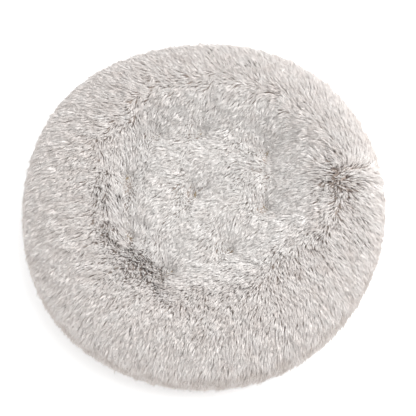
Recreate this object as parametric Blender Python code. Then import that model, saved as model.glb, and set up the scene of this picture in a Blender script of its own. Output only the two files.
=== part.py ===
"""Round tufted pet cushion bed.

A long-pile plush cover and a flat base panel are sewn together round the underside and stuffed
with fibre. Twine ties pull the cover down to the base at the middle and at a ring of tufts, which
leaves a soft sleeping pad inside a raised rim. Lengths are in metres, +Z is up, and the origin is
on the floor under the middle of the bed.
"""

import math

import bmesh
import bpy
import numpy as np
from mathutils import Vector
from mathutils.bvhtree import BVHTree

# Overall sizes
OUTER_RADIUS = 0.302
RIM_HEIGHT = 0.134
RIM_WIDTH = 0.176
CREST_INSET = RIM_WIDTH / 2
CREST_LEAN = 0.011
GIRTH_HEIGHT = 0.062
BASE_INSET = 0.055

# Sleeping pad
VALLEY_HEIGHT = 0.078
PAD_HEIGHT = 0.094
TUFT_DEPTH = 0.020
TUFT_REACH = 0.042

# Cloth, pile and stuffing
PILE_DEPTH = 0.014
PINCHED_DEPTH = 0.004
PINCH_REACH = 0.030
HEM_CLOTH = 0.0012
HEM_FLANGE = 0.012
BASE_CLOTH = 0.0015
BASE_DIMPLE = 0.009
BASE_DIMPLE_REACH = 0.026
GAP = 0.0003

# Twine ties, with a bar stitch on top and a knot below
TIE_RADIUS = 0.0013
BAR_LENGTH = 0.0075
BAR_RADIUS = 0.0011
KNOT_RADIUS = 0.0034
KNOT_HEIGHT = 0.0045
KNOT_LATITUDES = [math.radians(degrees) for degrees in (-50, -10, 30, 60)]
POCKET_RADIUS = 0.0045
POCKET_FLOOR = 0.0018
CUTTER_REACH = 0.030

# Seam round the underside, its hand-closed stretch, and the care label
SEAM_THREAD = 0.0006
CLOSING_START = math.radians(66)
CLOSING_END = math.radians(102)
SEAM_BREAK = math.radians(0.4)
LABEL_ANGLE = math.radians(118)
LABEL_WIDTH = 0.030
LABEL_LENGTH = 0.018
LABEL_CLOTH = 0.0006

# Soft lobes of the outline: waves round the bed, size, and the angle of the first swell
LOBES = (
    (2, 0.0017, math.radians(71)),
    (3, 0.0022, math.radians(25)),
    (4, 0.0024, math.radians(225)),
    (5, 0.0014, math.radians(214)),
)

# The tufts sit a little off the middle, as hand tufting leaves them: angle, share of the ring
PATTERN_CENTRE = np.array([-0.013, 0.020])
RING_TUFTS = (
    (math.radians(32), 1.14),
    (math.radians(84), 0.90),
    (math.radians(120), 1.00),
    (math.radians(165), 0.93),
    (math.radians(216), 1.03),
    (math.radians(254), 1.13),
    (math.radians(300), 0.91),
    (math.radians(348), 0.94),
)

# Fullness of the stuffed curves
PAD_SOFTNESS = 1.4
SLOPE_SOFTNESS = 1.3
CREST_FULLNESS = 0.86
UNDER_FULLNESS = 0.90

# Mesh density
AROUND = 60
PAD_ROWS = 7
INNER_ROWS = 5
OUTER_ROWS = 5
UNDER_ROWS = 4
FLOOR_ROWS = 4
HOLE_SIDES = 10
TIE_SIDES = 9
BAR_SIDES = 8
LABEL_CHECKS = 4
SAME_PLACE = 1e-9

RING_RADIUS = OUTER_RADIUS - RIM_WIDTH
VALLEY_ROW = PAD_ROWS
HEM_ROW = PAD_ROWS + INNER_ROWS + OUTER_ROWS + UNDER_ROWS
HEM_HEIGHT = BASE_CLOTH + GAP
HOLE_RADIUS = TIE_RADIUS + GAP
ANGLES = [2 * math.pi * step / AROUND for step in range(AROUND)]


# ---------------------------------------------------------------- outline and tufting pattern


def toward(angle):
    """Unit vector in the floor plane at this angle."""
    return np.array([math.cos(angle), math.sin(angle)])


def girth_radius(angle):
    """Radius of the widest girth, a circle with a few soft lobes."""
    return OUTER_RADIUS + sum(size * math.cos(waves * (angle - swell)) for waves, size, swell in LOBES)


def base_radius(angle):
    """Radius of the seam between the cover and the base panel."""
    return girth_radius(angle) - BASE_INSET


def ring_share(angle):
    """Eased value between the two ring tufts on either side of this angle."""
    turn = 2 * math.pi
    for index, (start, share) in enumerate(RING_TUFTS):
        end, next_share = RING_TUFTS[(index + 1) % len(RING_TUFTS)]
        span = (end - start) % turn
        along = ((angle - start) % turn) / span
        if along <= 1:
            return share + (next_share - share) * along * along * (3 - 2 * along)
    return 1.0


def valley_point(angle):
    """Point of the crease that joins the ring tufts, where the rim meets the sleeping pad."""
    return PATTERN_CENTRE + toward(angle) * RING_RADIUS * ring_share(angle)


def tuft_points():
    """Floor-plane places of the tufts, the middle one last."""
    ring = [PATTERN_CENTRE + toward(angle) * RING_RADIUS * share for angle, share in RING_TUFTS]
    return ring + [PATTERN_CENTRE]


TUFTS = tuft_points()


def nearest_tuft(place):
    """Distance from a floor-plane place to the nearest tuft."""
    return min(math.hypot(*(place - tuft)) for tuft in TUFTS)


def tuft_drop(place):
    """How far the ties pull the plush down at this place."""
    return TUFT_DEPTH * max(0.0, 1 - (nearest_tuft(place) / TUFT_REACH) ** 2) ** 2


def base_lift(place):
    """How far the ties pull the base panel up at this place."""
    return BASE_DIMPLE * max(0.0, 1 - (nearest_tuft(place) / BASE_DIMPLE_REACH) ** 2) ** 2


def pile_depth(place, row):
    """Depth of pile and backing, thin where a tie pinches it and where it is turned under."""
    pinch = max(0.0, 1 - (nearest_tuft(place) / PINCH_REACH) ** 2)
    depth = PILE_DEPTH + (PINCHED_DEPTH - PILE_DEPTH) * pinch
    under = max(0, row - (HEM_ROW - UNDER_ROWS)) / UNDER_ROWS
    return depth + (HEM_CLOTH - depth) * under


# ---------------------------------------------------------------- sections of the stuffed form


def pad_steps():
    """Shares of the way from the pad's middle to the crease, close together at both ends."""
    return [0.5 - 0.5 * math.cos(math.pi * row / PAD_ROWS) for row in range(PAD_ROWS + 1)]


def outer_section(angle):
    """Plush surface from the pad's middle, over the rim, to the hem under the bed."""
    valley = valley_point(angle)
    girth = toward(angle) * girth_radius(angle)
    hem = toward(angle) * base_radius(angle)
    inset = CREST_INSET - CREST_LEAN * math.cos(angle)
    crest = girth + (valley - girth) / np.linalg.norm(valley - girth) * inset
    section = []
    for step in pad_steps():
        swell = (PAD_HEIGHT - VALLEY_HEIGHT) * max(0.0, math.sin(math.pi * step)) ** PAD_SOFTNESS
        section.append((PATTERN_CENTRE + (valley - PATTERN_CENTRE) * step, VALLEY_HEIGHT + swell))
    for row in range(1, INNER_ROWS + 1):
        step = row / INNER_ROWS
        rise = math.sin(math.pi / 2 * step) ** SLOPE_SOFTNESS
        height = VALLEY_HEIGHT + (RIM_HEIGHT - VALLEY_HEIGHT) * rise
        section.append((valley + (crest - valley) * step, height))
    for row in range(1, OUTER_ROWS + 1):
        turn = math.pi / 2 * row / OUTER_ROWS
        across = math.sin(turn) ** CREST_FULLNESS
        height = GIRTH_HEIGHT + (RIM_HEIGHT - GIRTH_HEIGHT) * max(0.0, math.cos(turn)) ** CREST_FULLNESS
        section.append((crest + (girth - crest) * across, height))
    for row in range(1, UNDER_ROWS + 1):
        turn = math.pi / 2 * row / UNDER_ROWS
        across = max(0.0, math.cos(turn)) ** UNDER_FULLNESS
        height = GIRTH_HEIGHT + (HEM_HEIGHT - GIRTH_HEIGHT) * math.sin(turn) ** UNDER_FULLNESS
        section.append((hem + (girth - hem) * across, height))
    return [(*place, height - tuft_drop(place)) for place, height in section]


def floor_section(angle, height):
    """Flat run from the pad's middle to the inner edge of the hem's flange, lifted at the tufts."""
    valley = valley_point(angle)
    edge = toward(angle) * (base_radius(angle) - HEM_FLANGE - GAP)
    places = [PATTERN_CENTRE + (valley - PATTERN_CENTRE) * step for step in pad_steps()]
    places += [valley + (edge - valley) * (row / FLOOR_ROWS) ** 2 for row in range(1, FLOOR_ROWS + 1)]
    return [(*place, height + base_lift(place)) for place in places]


def as_grid(section):
    """Points of one section function at every angle, as rows from the middle outwards."""
    return np.array([section(angle) for angle in ANGLES]).transpose(1, 0, 2)


def grid_normals(grid):
    """Outward normal at each point of a grid whose first row is a single place."""
    along = np.gradient(grid, axis=0)
    around = np.roll(grid, -1, axis=1) - np.roll(grid, 1, axis=1)
    normals = np.cross(along, around)
    normals[0] = (0, 0, 1)
    return normals / np.linalg.norm(normals, axis=2, keepdims=True)


def sunk(grid, normals, extra):
    """The grid moved in through the pile, and by a further clearance."""
    inner = grid.copy()
    for row in range(len(grid)):
        for column in range(AROUND):
            depth = pile_depth(grid[row, column, :2], row) + extra
            inner[row, column] -= normals[row, column] * depth
    inner[HEM_ROW] = grid[HEM_ROW] + (0, 0, HEM_CLOTH + extra)
    return inner


def drawn_in(row, distance):
    """A row of points moved towards the bed's middle in the floor plane."""
    moved = row.copy()
    length = np.linalg.norm(row[:, :2], axis=1, keepdims=True)
    moved[:, :2] *= (length - distance) / length
    return moved


def beside_crease(row, distance):
    """A row of crease points moved away from the tufting pattern's centre in the floor plane."""
    moved = row.copy()
    offset = row[:, :2] - PATTERN_CENTRE
    moved[:, :2] += offset / np.linalg.norm(offset, axis=1, keepdims=True) * distance
    return moved


# ---------------------------------------------------------------- mesh and object helpers


def clear_scene():
    """Take every object out of the scene."""
    for item in list(bpy.data.objects):
        bpy.data.objects.remove(item, do_unlink=True)


def material(name, colour, roughness):
    """A Principled material of one colour."""
    made = bpy.data.materials.new(name)
    made.use_nodes = True
    shader = made.node_tree.nodes["Principled BSDF"]
    shader.inputs["Base Color"].default_value = (*colour, 1)
    shader.inputs["Roughness"].default_value = roughness
    shader.inputs["Metallic"].default_value = 0.0
    made.diffuse_color = (*colour, 1)
    return made


def add_object(name, data, finish, parent):
    """Link new object data into the scene, dressed and parented."""
    made = bpy.data.objects.new(name, data)
    bpy.context.scene.collection.objects.link(made)
    made.parent = parent
    if finish:
        made.data.materials.append(finish)
    return made


def add_mesh(name, sheet, finish, parent):
    """Turn a bmesh into a smooth-shaded object with its faces pointing out."""
    bmesh.ops.recalc_face_normals(sheet, faces=sheet.faces)
    data = bpy.data.meshes.new(name)
    sheet.to_mesh(data)
    sheet.free()
    data.shade_smooth()
    data.set_sharp_from_angle(angle=math.radians(50))
    return add_object(name, data, finish, parent)


def skin(front, back, ringed=False):
    """Bmesh of triangles over two stacks of rows, each from the middle outwards, joined at the last.

    Both stacks split their squares along the same diagonal, so that faces of two pieces that lie
    side by side stay parallel. A row of equal points becomes one pole. A ringed skin has no pole
    and joins the two first rows as well.
    """
    sheet = bmesh.new()

    def loop(row):
        if np.ptp(row, axis=0).max() < SAME_PLACE:
            return [sheet.verts.new(row[0])] * AROUND
        return [sheet.verts.new(point) for point in row]

    front, back = [loop(row) for row in front], [loop(row) for row in back]
    pairs = [*zip(front, front[1:]), *zip(back, back[1:]), (front[-1], back[-1])]
    if ringed:
        pairs.append((front[0], back[0]))
    for low, high in pairs:
        for column in range(AROUND):
            ahead = (column + 1) % AROUND
            corners = low[column], high[column], high[ahead], low[ahead]
            for triangle in (corners[:3], (corners[0], *corners[2:])):
                if len(set(triangle)) == 3:
                    sheet.faces.new(triangle)
    return sheet


def hide_helper(helper):
    """Mark an object as a cutting or joining helper."""
    helper.hide_render = True
    helper.display_type = "WIRE"


def apply_boolean(target, helper, operation):
    """Add an exact Boolean with the helper to the target."""
    modifier = target.modifiers.new(helper.name, "BOOLEAN")
    modifier.operation = operation
    modifier.solver = "EXACT"
    modifier.object = helper


def add_cylinder(sheet, radius, low, high, place):
    """Add an upright closed cylinder to a bmesh."""
    made = bmesh.ops.create_cone(
        sheet, cap_ends=True, segments=HOLE_SIDES, radius1=radius, radius2=radius, depth=high - low
    )
    bmesh.ops.translate(sheet, verts=made["verts"], vec=(*place, (low + high) / 2))


# ---------------------------------------------------------------- the pieces


def build_cover(outer, inner, finish, parent):
    """Plush cover: outer pile surface, turned-in hem flange and the backing inside it."""
    flange_under = drawn_in(outer[HEM_ROW], HEM_FLANGE)
    flange_top = drawn_in(inner[HEM_ROW], HEM_FLANGE)
    return add_mesh("plush_cover", skin([*outer, flange_under], [*inner, flange_top]), finish, parent)


def build_centre_filling(top, floor, finish, parent):
    """Fibre under the sleeping pad, from the base panel up to the plush."""
    top_edge = beside_crease(top[VALLEY_ROW], -GAP)
    floor_edge = beside_crease(floor[VALLEY_ROW], -GAP)
    sheet = skin([*top[:VALLEY_ROW], top_edge], [*floor[:VALLEY_ROW], floor_edge])
    return add_mesh("centre_filling", sheet, finish, parent)


def build_rim_filling(top, floor, finish, parent):
    """Fibre ring that holds the rim up, stepped at its foot to clear the hem's flange."""
    top_edge = beside_crease(top[VALLEY_ROW], GAP)
    floor_edge = beside_crease(floor[VALLEY_ROW], GAP)
    step = floor[-1].copy()
    step[:, 2] = top[HEM_ROW][0][2]
    upper = [top_edge, *top[VALLEY_ROW + 1 :], step]
    lower = [floor_edge, *floor[VALLEY_ROW + 1 :]]
    sheet = skin(upper, lower, ringed=True)
    return add_mesh("rim_filling", sheet, finish, parent)


def build_base_panel(finish, parent):
    """Flat cloth panel that the bed rests on, drawn up a little at each tie."""
    upper = as_grid(lambda angle: floor_section(angle, BASE_CLOTH))
    lower = as_grid(lambda angle: floor_section(angle, 0.0))
    rim = np.array([(*(toward(angle) * base_radius(angle)), 0.0) for angle in ANGLES])
    sheet = skin([*upper, rim + (0, 0, BASE_CLOTH)], [*lower, rim])
    return add_mesh("base_panel", sheet, finish, parent)


def surface_heights(target):
    """Function that gives the highest and lowest surface of an object at a floor-plane place."""
    tree = BVHTree.FromObject(target, bpy.context.evaluated_depsgraph_get())

    def heights(place):
        above = tree.ray_cast(Vector((*place, 1.0)), Vector((0, 0, -1)))[0]
        below = tree.ray_cast(Vector((*place, -1.0)), Vector((0, 0, 1)))[0]
        return above.z, below.z

    return heights


def lowest_under(heights, place, radius):
    """Lowest underside within a radius of a place."""
    around = [place + toward(math.pi / 4 * turn) * radius for turn in range(8)]
    return min(heights(spot)[1] for spot in [place, *around])


def pocket_height(heights, place):
    """Floor of a tie's pocket: sunk into the pile, but above the backing all round it."""
    around = [place + toward(math.pi / 4 * turn) * POCKET_RADIUS for turn in range(8)]
    backing = max(heights(spot)[1] for spot in around)
    return max(heights(place)[0] - POCKET_FLOOR, backing + GAP)


def hole_cutter(name, spans, radius, parent):
    """Hidden helper with one upright cylinder for each (place, low, high)."""
    sheet = bmesh.new()
    for place, low, high in spans:
        add_cylinder(sheet, radius, low, high, place)
    helper = add_mesh(name, sheet, None, parent)
    hide_helper(helper)
    return helper


def tie_profile(knot_top, top):
    """Half outline of a tie: a rounded knot, then the twisted legs up to the bar stitch."""
    middle = knot_top - KNOT_HEIGHT / 2
    points = [(0.0, knot_top - KNOT_HEIGHT)]
    for latitude in KNOT_LATITUDES:
        points.append(
            (KNOT_RADIUS * math.cos(latitude), middle + KNOT_HEIGHT / 2 * math.sin(latitude))
        )
    return points + [(TIE_RADIUS, knot_top), (TIE_RADIUS, top), (0.0, top)]


def build_tie(name, place, knot_top, pocket_floor, heading, finish, parent):
    """One twine tie: bar stitch on top, twisted legs through the stuffing, knot under the base."""
    bar_height = pocket_floor + GAP + BAR_RADIUS
    sheet = bmesh.new()
    verts = [sheet.verts.new((radius, 0, height)) for radius, height in tie_profile(knot_top, bar_height)]
    edges = [sheet.edges.new(pair) for pair in zip(verts, verts[1:])]
    bmesh.ops.spin(
        sheet,
        geom=verts + edges,
        cent=(0, 0, 0),
        axis=(0, 0, 1),
        angle=2 * math.pi,
        steps=TIE_SIDES,
        use_merge=True,
    )
    bmesh.ops.remove_doubles(sheet, verts=sheet.verts, dist=1e-6)
    tie = add_mesh(name, sheet, finish, parent)
    tie.location = (*place, 0)

    bar = bmesh.new()
    bmesh.ops.create_cone(
        bar, cap_ends=True, segments=BAR_SIDES, radius1=BAR_RADIUS, radius2=BAR_RADIUS, depth=BAR_LENGTH
    )
    helper = add_mesh(name + "_bar", bar, None, parent)
    helper.location = (*place, bar_height)
    helper.rotation_euler = (math.pi / 2, 0, heading)
    hide_helper(helper)
    apply_boolean(tie, helper, "UNION")
    return tie


def add_thread(name, start, end, finish, parent):
    """Seam thread that runs in the notch between the hem and the base panel's edge."""
    data = bpy.data.curves.new(name, "CURVE")
    data.dimensions = "3D"
    data.bevel_depth = SEAM_THREAD
    data.bevel_resolution = 1
    data.use_fill_caps = True
    spline = data.splines.new("POLY")
    two_turns = ANGLES + [angle + 2 * math.pi for angle in ANGLES]
    stops = [start, *(angle for angle in two_turns if start < angle < end), end]
    spline.points.add(len(stops) - 1)
    for point, angle in zip(spline.points, stops):
        place = toward(angle) * (base_radius(angle) + GAP + SEAM_THREAD)
        point.co = (*place, GAP + SEAM_THREAD, 1)
    return add_object(name, data, finish, parent)


def build_label(finish, parent):
    """Blank care label that lies out from the seam under the back of the rim."""
    half_span = LABEL_WIDTH / base_radius(LABEL_ANGLE)
    turns = [half_span * step / LABEL_CHECKS for step in range(-LABEL_CHECKS, LABEL_CHECKS + 1)]
    reach = max(base_radius(LABEL_ANGLE + turn) * math.cos(turn) for turn in turns)
    seam = reach + GAP + 2 * SEAM_THREAD + GAP
    sheet = bmesh.new()
    bmesh.ops.create_cube(sheet, size=1)
    bmesh.ops.scale(sheet, vec=(LABEL_LENGTH, LABEL_WIDTH, LABEL_CLOTH), verts=sheet.verts)
    label = add_mesh("care_label", sheet, finish, parent)
    place = toward(LABEL_ANGLE) * (seam + LABEL_LENGTH / 2)
    label.location = (*place, GAP + LABEL_CLOTH / 2)
    label.rotation_euler = (0, 0, LABEL_ANGLE)
    return label


def main():
    """Build every piece of the bed."""
    clear_scene()
    plush = material("plush", (0.79, 0.75, 0.73), 0.95)
    base_cloth = material("base_cloth", (0.46, 0.43, 0.41), 0.85)
    fibre = material("fibre", (0.93, 0.93, 0.92), 1.0)
    twine = material("twine", (0.55, 0.49, 0.38), 0.8)
    seam_cotton = material("seam_cotton", (0.70, 0.66, 0.63), 0.8)
    label_tape = material("label_tape", (0.92, 0.91, 0.89), 0.6)

    bed = bpy.data.objects.new("pet_cushion_bed", None)
    bpy.context.scene.collection.objects.link(bed)

    outer = as_grid(outer_section)
    places = outer[..., :2].reshape(-1, 2)
    bed.location = (*(-(places.min(axis=0) + places.max(axis=0)) / 2), 0)
    normals = grid_normals(outer)
    backing = sunk(outer, normals, 0.0)
    stuffed = sunk(outer, normals, GAP)
    floor = as_grid(lambda angle: floor_section(angle, BASE_CLOTH + GAP))

    cover = build_cover(outer, backing, plush, bed)
    centre_filling = build_centre_filling(stuffed, floor, fibre, bed)
    rim_filling = build_rim_filling(stuffed, floor, fibre, bed)
    base_panel = build_base_panel(base_cloth, bed)

    cover_heights = surface_heights(cover)
    base_heights = surface_heights(base_panel)
    floors = [pocket_height(cover_heights, tuft) for tuft in TUFTS]
    knots = [lowest_under(base_heights, tuft, KNOT_RADIUS) - GAP for tuft in TUFTS]

    holes = [(tuft, -CUTTER_REACH, height + CUTTER_REACH) for tuft, height in zip(TUFTS, floors)]
    pockets = [(tuft, height, height + CUTTER_REACH) for tuft, height in zip(TUFTS, floors)]
    through = hole_cutter("tie_holes", holes, HOLE_RADIUS, bed)
    sunken = hole_cutter("tie_pockets", pockets, POCKET_RADIUS, bed)
    for piece in (cover, centre_filling, rim_filling, base_panel):
        apply_boolean(piece, through, "DIFFERENCE")
    apply_boolean(cover, sunken, "DIFFERENCE")

    names = [f"tuft_tie_{number}" for number in range(1, len(RING_TUFTS) + 1)] + ["tuft_tie_centre"]
    headings = [angle for angle, _ in RING_TUFTS] + [0.0]
    for name, tuft, knot, height, heading in zip(names, TUFTS, knots, floors, headings):
        build_tie(name, tuft, knot, height, heading, twine, bed)

    add_thread("closing_thread", CLOSING_START, CLOSING_END, seam_cotton, bed)
    seam_end = CLOSING_START + 2 * math.pi - SEAM_BREAK
    add_thread("seam_thread", CLOSING_END + SEAM_BREAK, seam_end, seam_cotton, bed)
    build_label(label_tape, bed)


main()
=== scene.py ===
"""Looks of a round, hand-tufted plush pet bed.

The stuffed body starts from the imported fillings, is blown up by a short cloth simulation with its
ties and its base held still, and is then read as a fine skin. Long pile grows from that skin in
combed locks. The base cloth, its non-slip dots, the seam stitches, the twine ties and the blank
label are made beside it. Lengths are in metres, +Z is up, and the bed's front faces -Y.
"""

import logging
import math
from dataclasses import dataclass, field
from enum import Enum

import bpy
import numpy as np
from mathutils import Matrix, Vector
from mathutils.bvhtree import BVHTree


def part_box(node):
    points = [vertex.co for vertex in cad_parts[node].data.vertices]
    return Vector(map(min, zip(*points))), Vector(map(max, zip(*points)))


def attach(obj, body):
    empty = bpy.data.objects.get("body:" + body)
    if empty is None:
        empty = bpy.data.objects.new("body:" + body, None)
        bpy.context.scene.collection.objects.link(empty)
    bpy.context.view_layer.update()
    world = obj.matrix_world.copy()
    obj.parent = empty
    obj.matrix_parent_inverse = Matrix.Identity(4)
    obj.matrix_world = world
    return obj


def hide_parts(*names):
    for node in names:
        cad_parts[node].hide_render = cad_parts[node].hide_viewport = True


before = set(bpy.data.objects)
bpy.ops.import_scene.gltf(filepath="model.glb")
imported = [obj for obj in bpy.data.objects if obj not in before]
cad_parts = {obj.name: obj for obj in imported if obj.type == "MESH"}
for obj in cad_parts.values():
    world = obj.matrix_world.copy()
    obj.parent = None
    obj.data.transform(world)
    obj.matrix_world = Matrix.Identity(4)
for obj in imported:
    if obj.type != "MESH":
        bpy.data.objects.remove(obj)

LOG = logging.getLogger("pet_bed")
BODY = "root"
PILE_MAP = "OFBake"
UP = np.array([0.0, 0.0, 1.0])
FULL_TURN = 2 * math.pi
CLOTH_SPECULAR = 0.3


# ------------------------------------------------------------------------------------------------
# Small geometry helpers


def unit(vectors: np.ndarray) -> np.ndarray:
    """Scale vectors along the last axis to length one.

    Args:
        vectors: Any array whose last axis holds the components.

    Returns:
        The array with each vector at unit length.
    """
    length = np.linalg.norm(vectors, axis=-1, keepdims=True)
    return vectors / np.maximum(length, 1e-12)


def smoothstep(low: float, high: float, value: np.ndarray) -> np.ndarray:
    """Ease from 0 below low to 1 above high.

    Args:
        low: Value where the ease starts.
        high: Value where it ends.
        value: Values to ease.

    Returns:
        The eased values.
    """
    share = np.clip((value - low) / (high - low), 0.0, 1.0)
    return share * share * (3.0 - 2.0 * share)


def toward(angle: float | np.ndarray) -> np.ndarray:
    """Unit vector in the floor plane at an angle, or one for each angle."""
    return np.stack([np.cos(angle), np.sin(angle)], axis=-1)


def wave_noise(points: np.ndarray, size: float, seed: int, waves: int = 14) -> np.ndarray:
    """Smooth, repeatable noise made of plane waves in random directions.

    Args:
        points: Places, with two or three components on the last axis.
        size: Length of a typical swell, in the units of the points.
        seed: Picks one noise out of many.
        waves: How many waves are summed.

    Returns:
        Noise of about unit spread, one number for each place.
    """
    rng = np.random.default_rng(seed)
    directions = unit(rng.normal(size=(waves, points.shape[-1])))
    pitch = size * rng.uniform(0.7, 1.5, waves)
    phase = rng.uniform(0.0, FULL_TURN, waves)
    angle = points @ (directions / pitch[:, None]).T * 2 * math.pi + phase
    return np.sin(angle).sum(axis=-1) * math.sqrt(2.0 / waves)


def turned(ways: np.ndarray, angle: np.ndarray) -> np.ndarray:
    """Turn flat vectors counter-clockwise.

    Args:
        ways: Vectors with two components, one row each.
        angle: Angle for each row, in radians.

    Returns:
        The turned vectors.
    """
    cos, sin = np.cos(angle), np.sin(angle)
    return np.stack([ways[:, 0] * cos - ways[:, 1] * sin, ways[:, 0] * sin + ways[:, 1] * cos], axis=1)


def quarter_turn(ways: np.ndarray) -> np.ndarray:
    """Flat vectors turned counter-clockwise by a right angle."""
    return np.stack([-ways[..., 1], ways[..., 0]], axis=-1)


def angle_gap(angle: np.ndarray, other: float | np.ndarray) -> np.ndarray:
    """Shortest turn from one angle to another, from -pi to pi."""
    return np.angle(np.exp(1j * (angle - other)))


def nearest_gap(plan: np.ndarray, marks: np.ndarray) -> np.ndarray:
    """Distance in plan from each place to the nearest mark."""
    return np.linalg.norm(plan[..., None, :] - marks, axis=-1).min(axis=-1)


def mesh_object(
    name: str,
    points: np.ndarray,
    faces: np.ndarray,
    finish: bpy.types.Material | None = None,
    corners: np.ndarray | None = None,
    smooth: bool = True,
) -> bpy.types.Object:
    """Link a mesh object made from arrays.

    Args:
        name: The object's name.
        points: Vertex places, one row each.
        faces: Vertex numbers, one row for each face, all with as many corners.
        finish: Material for the whole object.
        corners: Places on the pile map for each corner of each face, if it has that map.
        smooth: Whether the faces are shaded smooth.

    Returns:
        The new object.
    """
    count, sides = faces.shape
    mesh = bpy.data.meshes.new(name)
    mesh.vertices.add(len(points))
    mesh.vertices.foreach_set("co", np.ascontiguousarray(points, np.float32).ravel())
    mesh.loops.add(count * sides)
    mesh.loops.foreach_set("vertex_index", np.ascontiguousarray(faces, np.int32).ravel())
    mesh.polygons.add(count)
    mesh.polygons.foreach_set("loop_start", np.arange(0, count * sides, sides, dtype=np.int32))
    mesh.polygons.foreach_set("use_smooth", np.full(count, smooth))
    if corners is not None:
        layer = mesh.uv_layers.new(name=PILE_MAP)
        layer.data.foreach_set("uv", np.ascontiguousarray(corners, np.float32).ravel())
    mesh.update(calc_edges=True)
    mesh.validate()
    made = bpy.data.objects.new(name, mesh)
    bpy.context.scene.collection.objects.link(made)
    if finish:
        mesh.materials.append(finish)
    return made


def grid_faces(rows: int, columns: int, wrap: bool = True) -> np.ndarray:
    """Squares over a grid of points stored row by row.

    Args:
        rows: Number of rows.
        columns: Number of points in a row.
        wrap: Whether the last column joins the first.

    Returns:
        Vertex numbers of each square, turned so that they face out when rows run outwards.
    """
    row, column = np.meshgrid(np.arange(rows - 1), np.arange(columns - (not wrap)), indexing="ij")
    ahead = (column + 1) % columns
    squares = [row * columns + column, (row + 1) * columns + column, (row + 1) * columns + ahead]
    return np.stack([*squares, row * columns + ahead], axis=-1).reshape(-1, 4)


def swept_tube(path: np.ndarray, radius: np.ndarray, sides: int) -> tuple[np.ndarray, np.ndarray]:
    """Closed round tube along a path.

    Args:
        path: Points along the middle of the tube.
        radius: Radius at each point.
        sides: Corners of its section.

    Returns:
        Points and four-cornered faces; each end is closed by a small last ring.
    """
    path = np.asarray(path, float)
    tangent = unit(np.gradient(path, axis=0))
    guide = UP if abs(tangent[:, 2]).max() < 0.9 else np.array([1.0, 0.0, 0.0])
    side = unit(np.cross(tangent, guide))
    lift = np.cross(side, tangent)
    path = np.concatenate([path[:1], path, path[-1:]])
    side, lift = (np.concatenate([way[:1], way, way[-1:]]) for way in (side, lift))
    radius = np.concatenate([[1e-6], radius, [1e-6]])
    turn = np.arange(sides) * 2 * math.pi / sides
    ring = side[:, None] * np.cos(turn)[:, None] + lift[:, None] * np.sin(turn)[:, None]
    points = path[:, None] + ring * radius[:, None, None]
    return points.reshape(-1, 3), grid_faces(len(path), sides)[:, ::-1]


def gathered(parts: list[tuple[np.ndarray, np.ndarray]]) -> tuple[np.ndarray, np.ndarray]:
    """Join point and face arrays into one pair, renumbering the faces.

    Args:
        parts: Pairs of points and faces with equal corner counts.

    Returns:
        All the points and all the faces.
    """
    starts = np.cumsum([0] + [len(points) for points, _ in parts])
    faces = [part[1] + start for part, start in zip(parts, starts)]
    return np.concatenate([part[0] for part in parts]), np.concatenate(faces)


# ------------------------------------------------------------------------------------------------
# Materials


@dataclass(frozen=True)
class Dye:
    """A colour as it looks on a screen, from 0 to 1 in each channel."""

    red: float
    green: float
    blue: float

    def linear(self) -> tuple[float, float, float, float]:
        """The colour as the shader wants it, with full alpha."""
        return (*(self.channel(value) for value in (self.red, self.green, self.blue)), 1.0)

    @staticmethod
    def channel(value: float) -> float:
        """One screen channel turned to linear light."""
        return value / 12.92 if value <= 0.04045 else ((value + 0.055) / 1.055) ** 2.4


class NodeSheet:
    """Short way to lay out the nodes of one tree."""

    def __init__(self, tree: bpy.types.NodeTree, material: bpy.types.Material | None = None) -> None:
        """Keep the tree that nodes are added to, and the material that it belongs to, if any."""
        self.tree = tree
        self.material = material

    def add(self, kind: str, values: dict | None = None, **settings: object) -> bpy.types.Node:
        """Add a node.

        Args:
            kind: Type name of the node.
            values: Input name or number to a value, or to an output socket to link from.
            **settings: Attributes of the node itself.

        Returns:
            The new node.
        """
        node = self.tree.nodes.new(kind)
        for name, value in settings.items():
            setattr(node, name, value)
        for key, value in (values or {}).items():
            socket = node.inputs[key]
            if isinstance(value, bpy.types.NodeSocket):
                self.tree.links.new(value, socket)
            else:
                socket.default_value = value
        return node

    def ramp(self, source: bpy.types.NodeSocket, stops: list[tuple[float, Dye]]) -> bpy.types.NodeSocket:
        """Colour ramp over a value.

        Args:
            source: The value that picks the place on the ramp.
            stops: Place and colour of each stop, in order.

        Returns:
            The ramp's colour output.
        """
        node = self.add("ShaderNodeValToRGB", {"Fac": source})
        elements = node.color_ramp.elements
        while len(elements) < len(stops):
            elements.new(0.5)
        for element, (place, dye) in zip(elements, stops):
            element.position = place
            element.color = dye.linear()
        return node.outputs["Color"]


def new_material(name: str, roughness: float, sheen: float = 0.0) -> tuple[NodeSheet, bpy.types.Node]:
    """Start a material that holds one Principled shader.

    Args:
        name: The material's name.
        roughness: Roughness of the shader.
        sheen: Weight of its soft fuzz.

    Returns:
        The sheet of its nodes and the shader node.
    """
    material = bpy.data.materials.new(name)
    material.use_nodes = True
    shader = material.node_tree.nodes["Principled BSDF"]
    shader.inputs["Roughness"].default_value = roughness
    shader.inputs["Sheen Weight"].default_value = sheen
    shader.inputs["Specular IOR Level"].default_value = CLOTH_SPECULAR
    return NodeSheet(material.node_tree, material), shader


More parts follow.
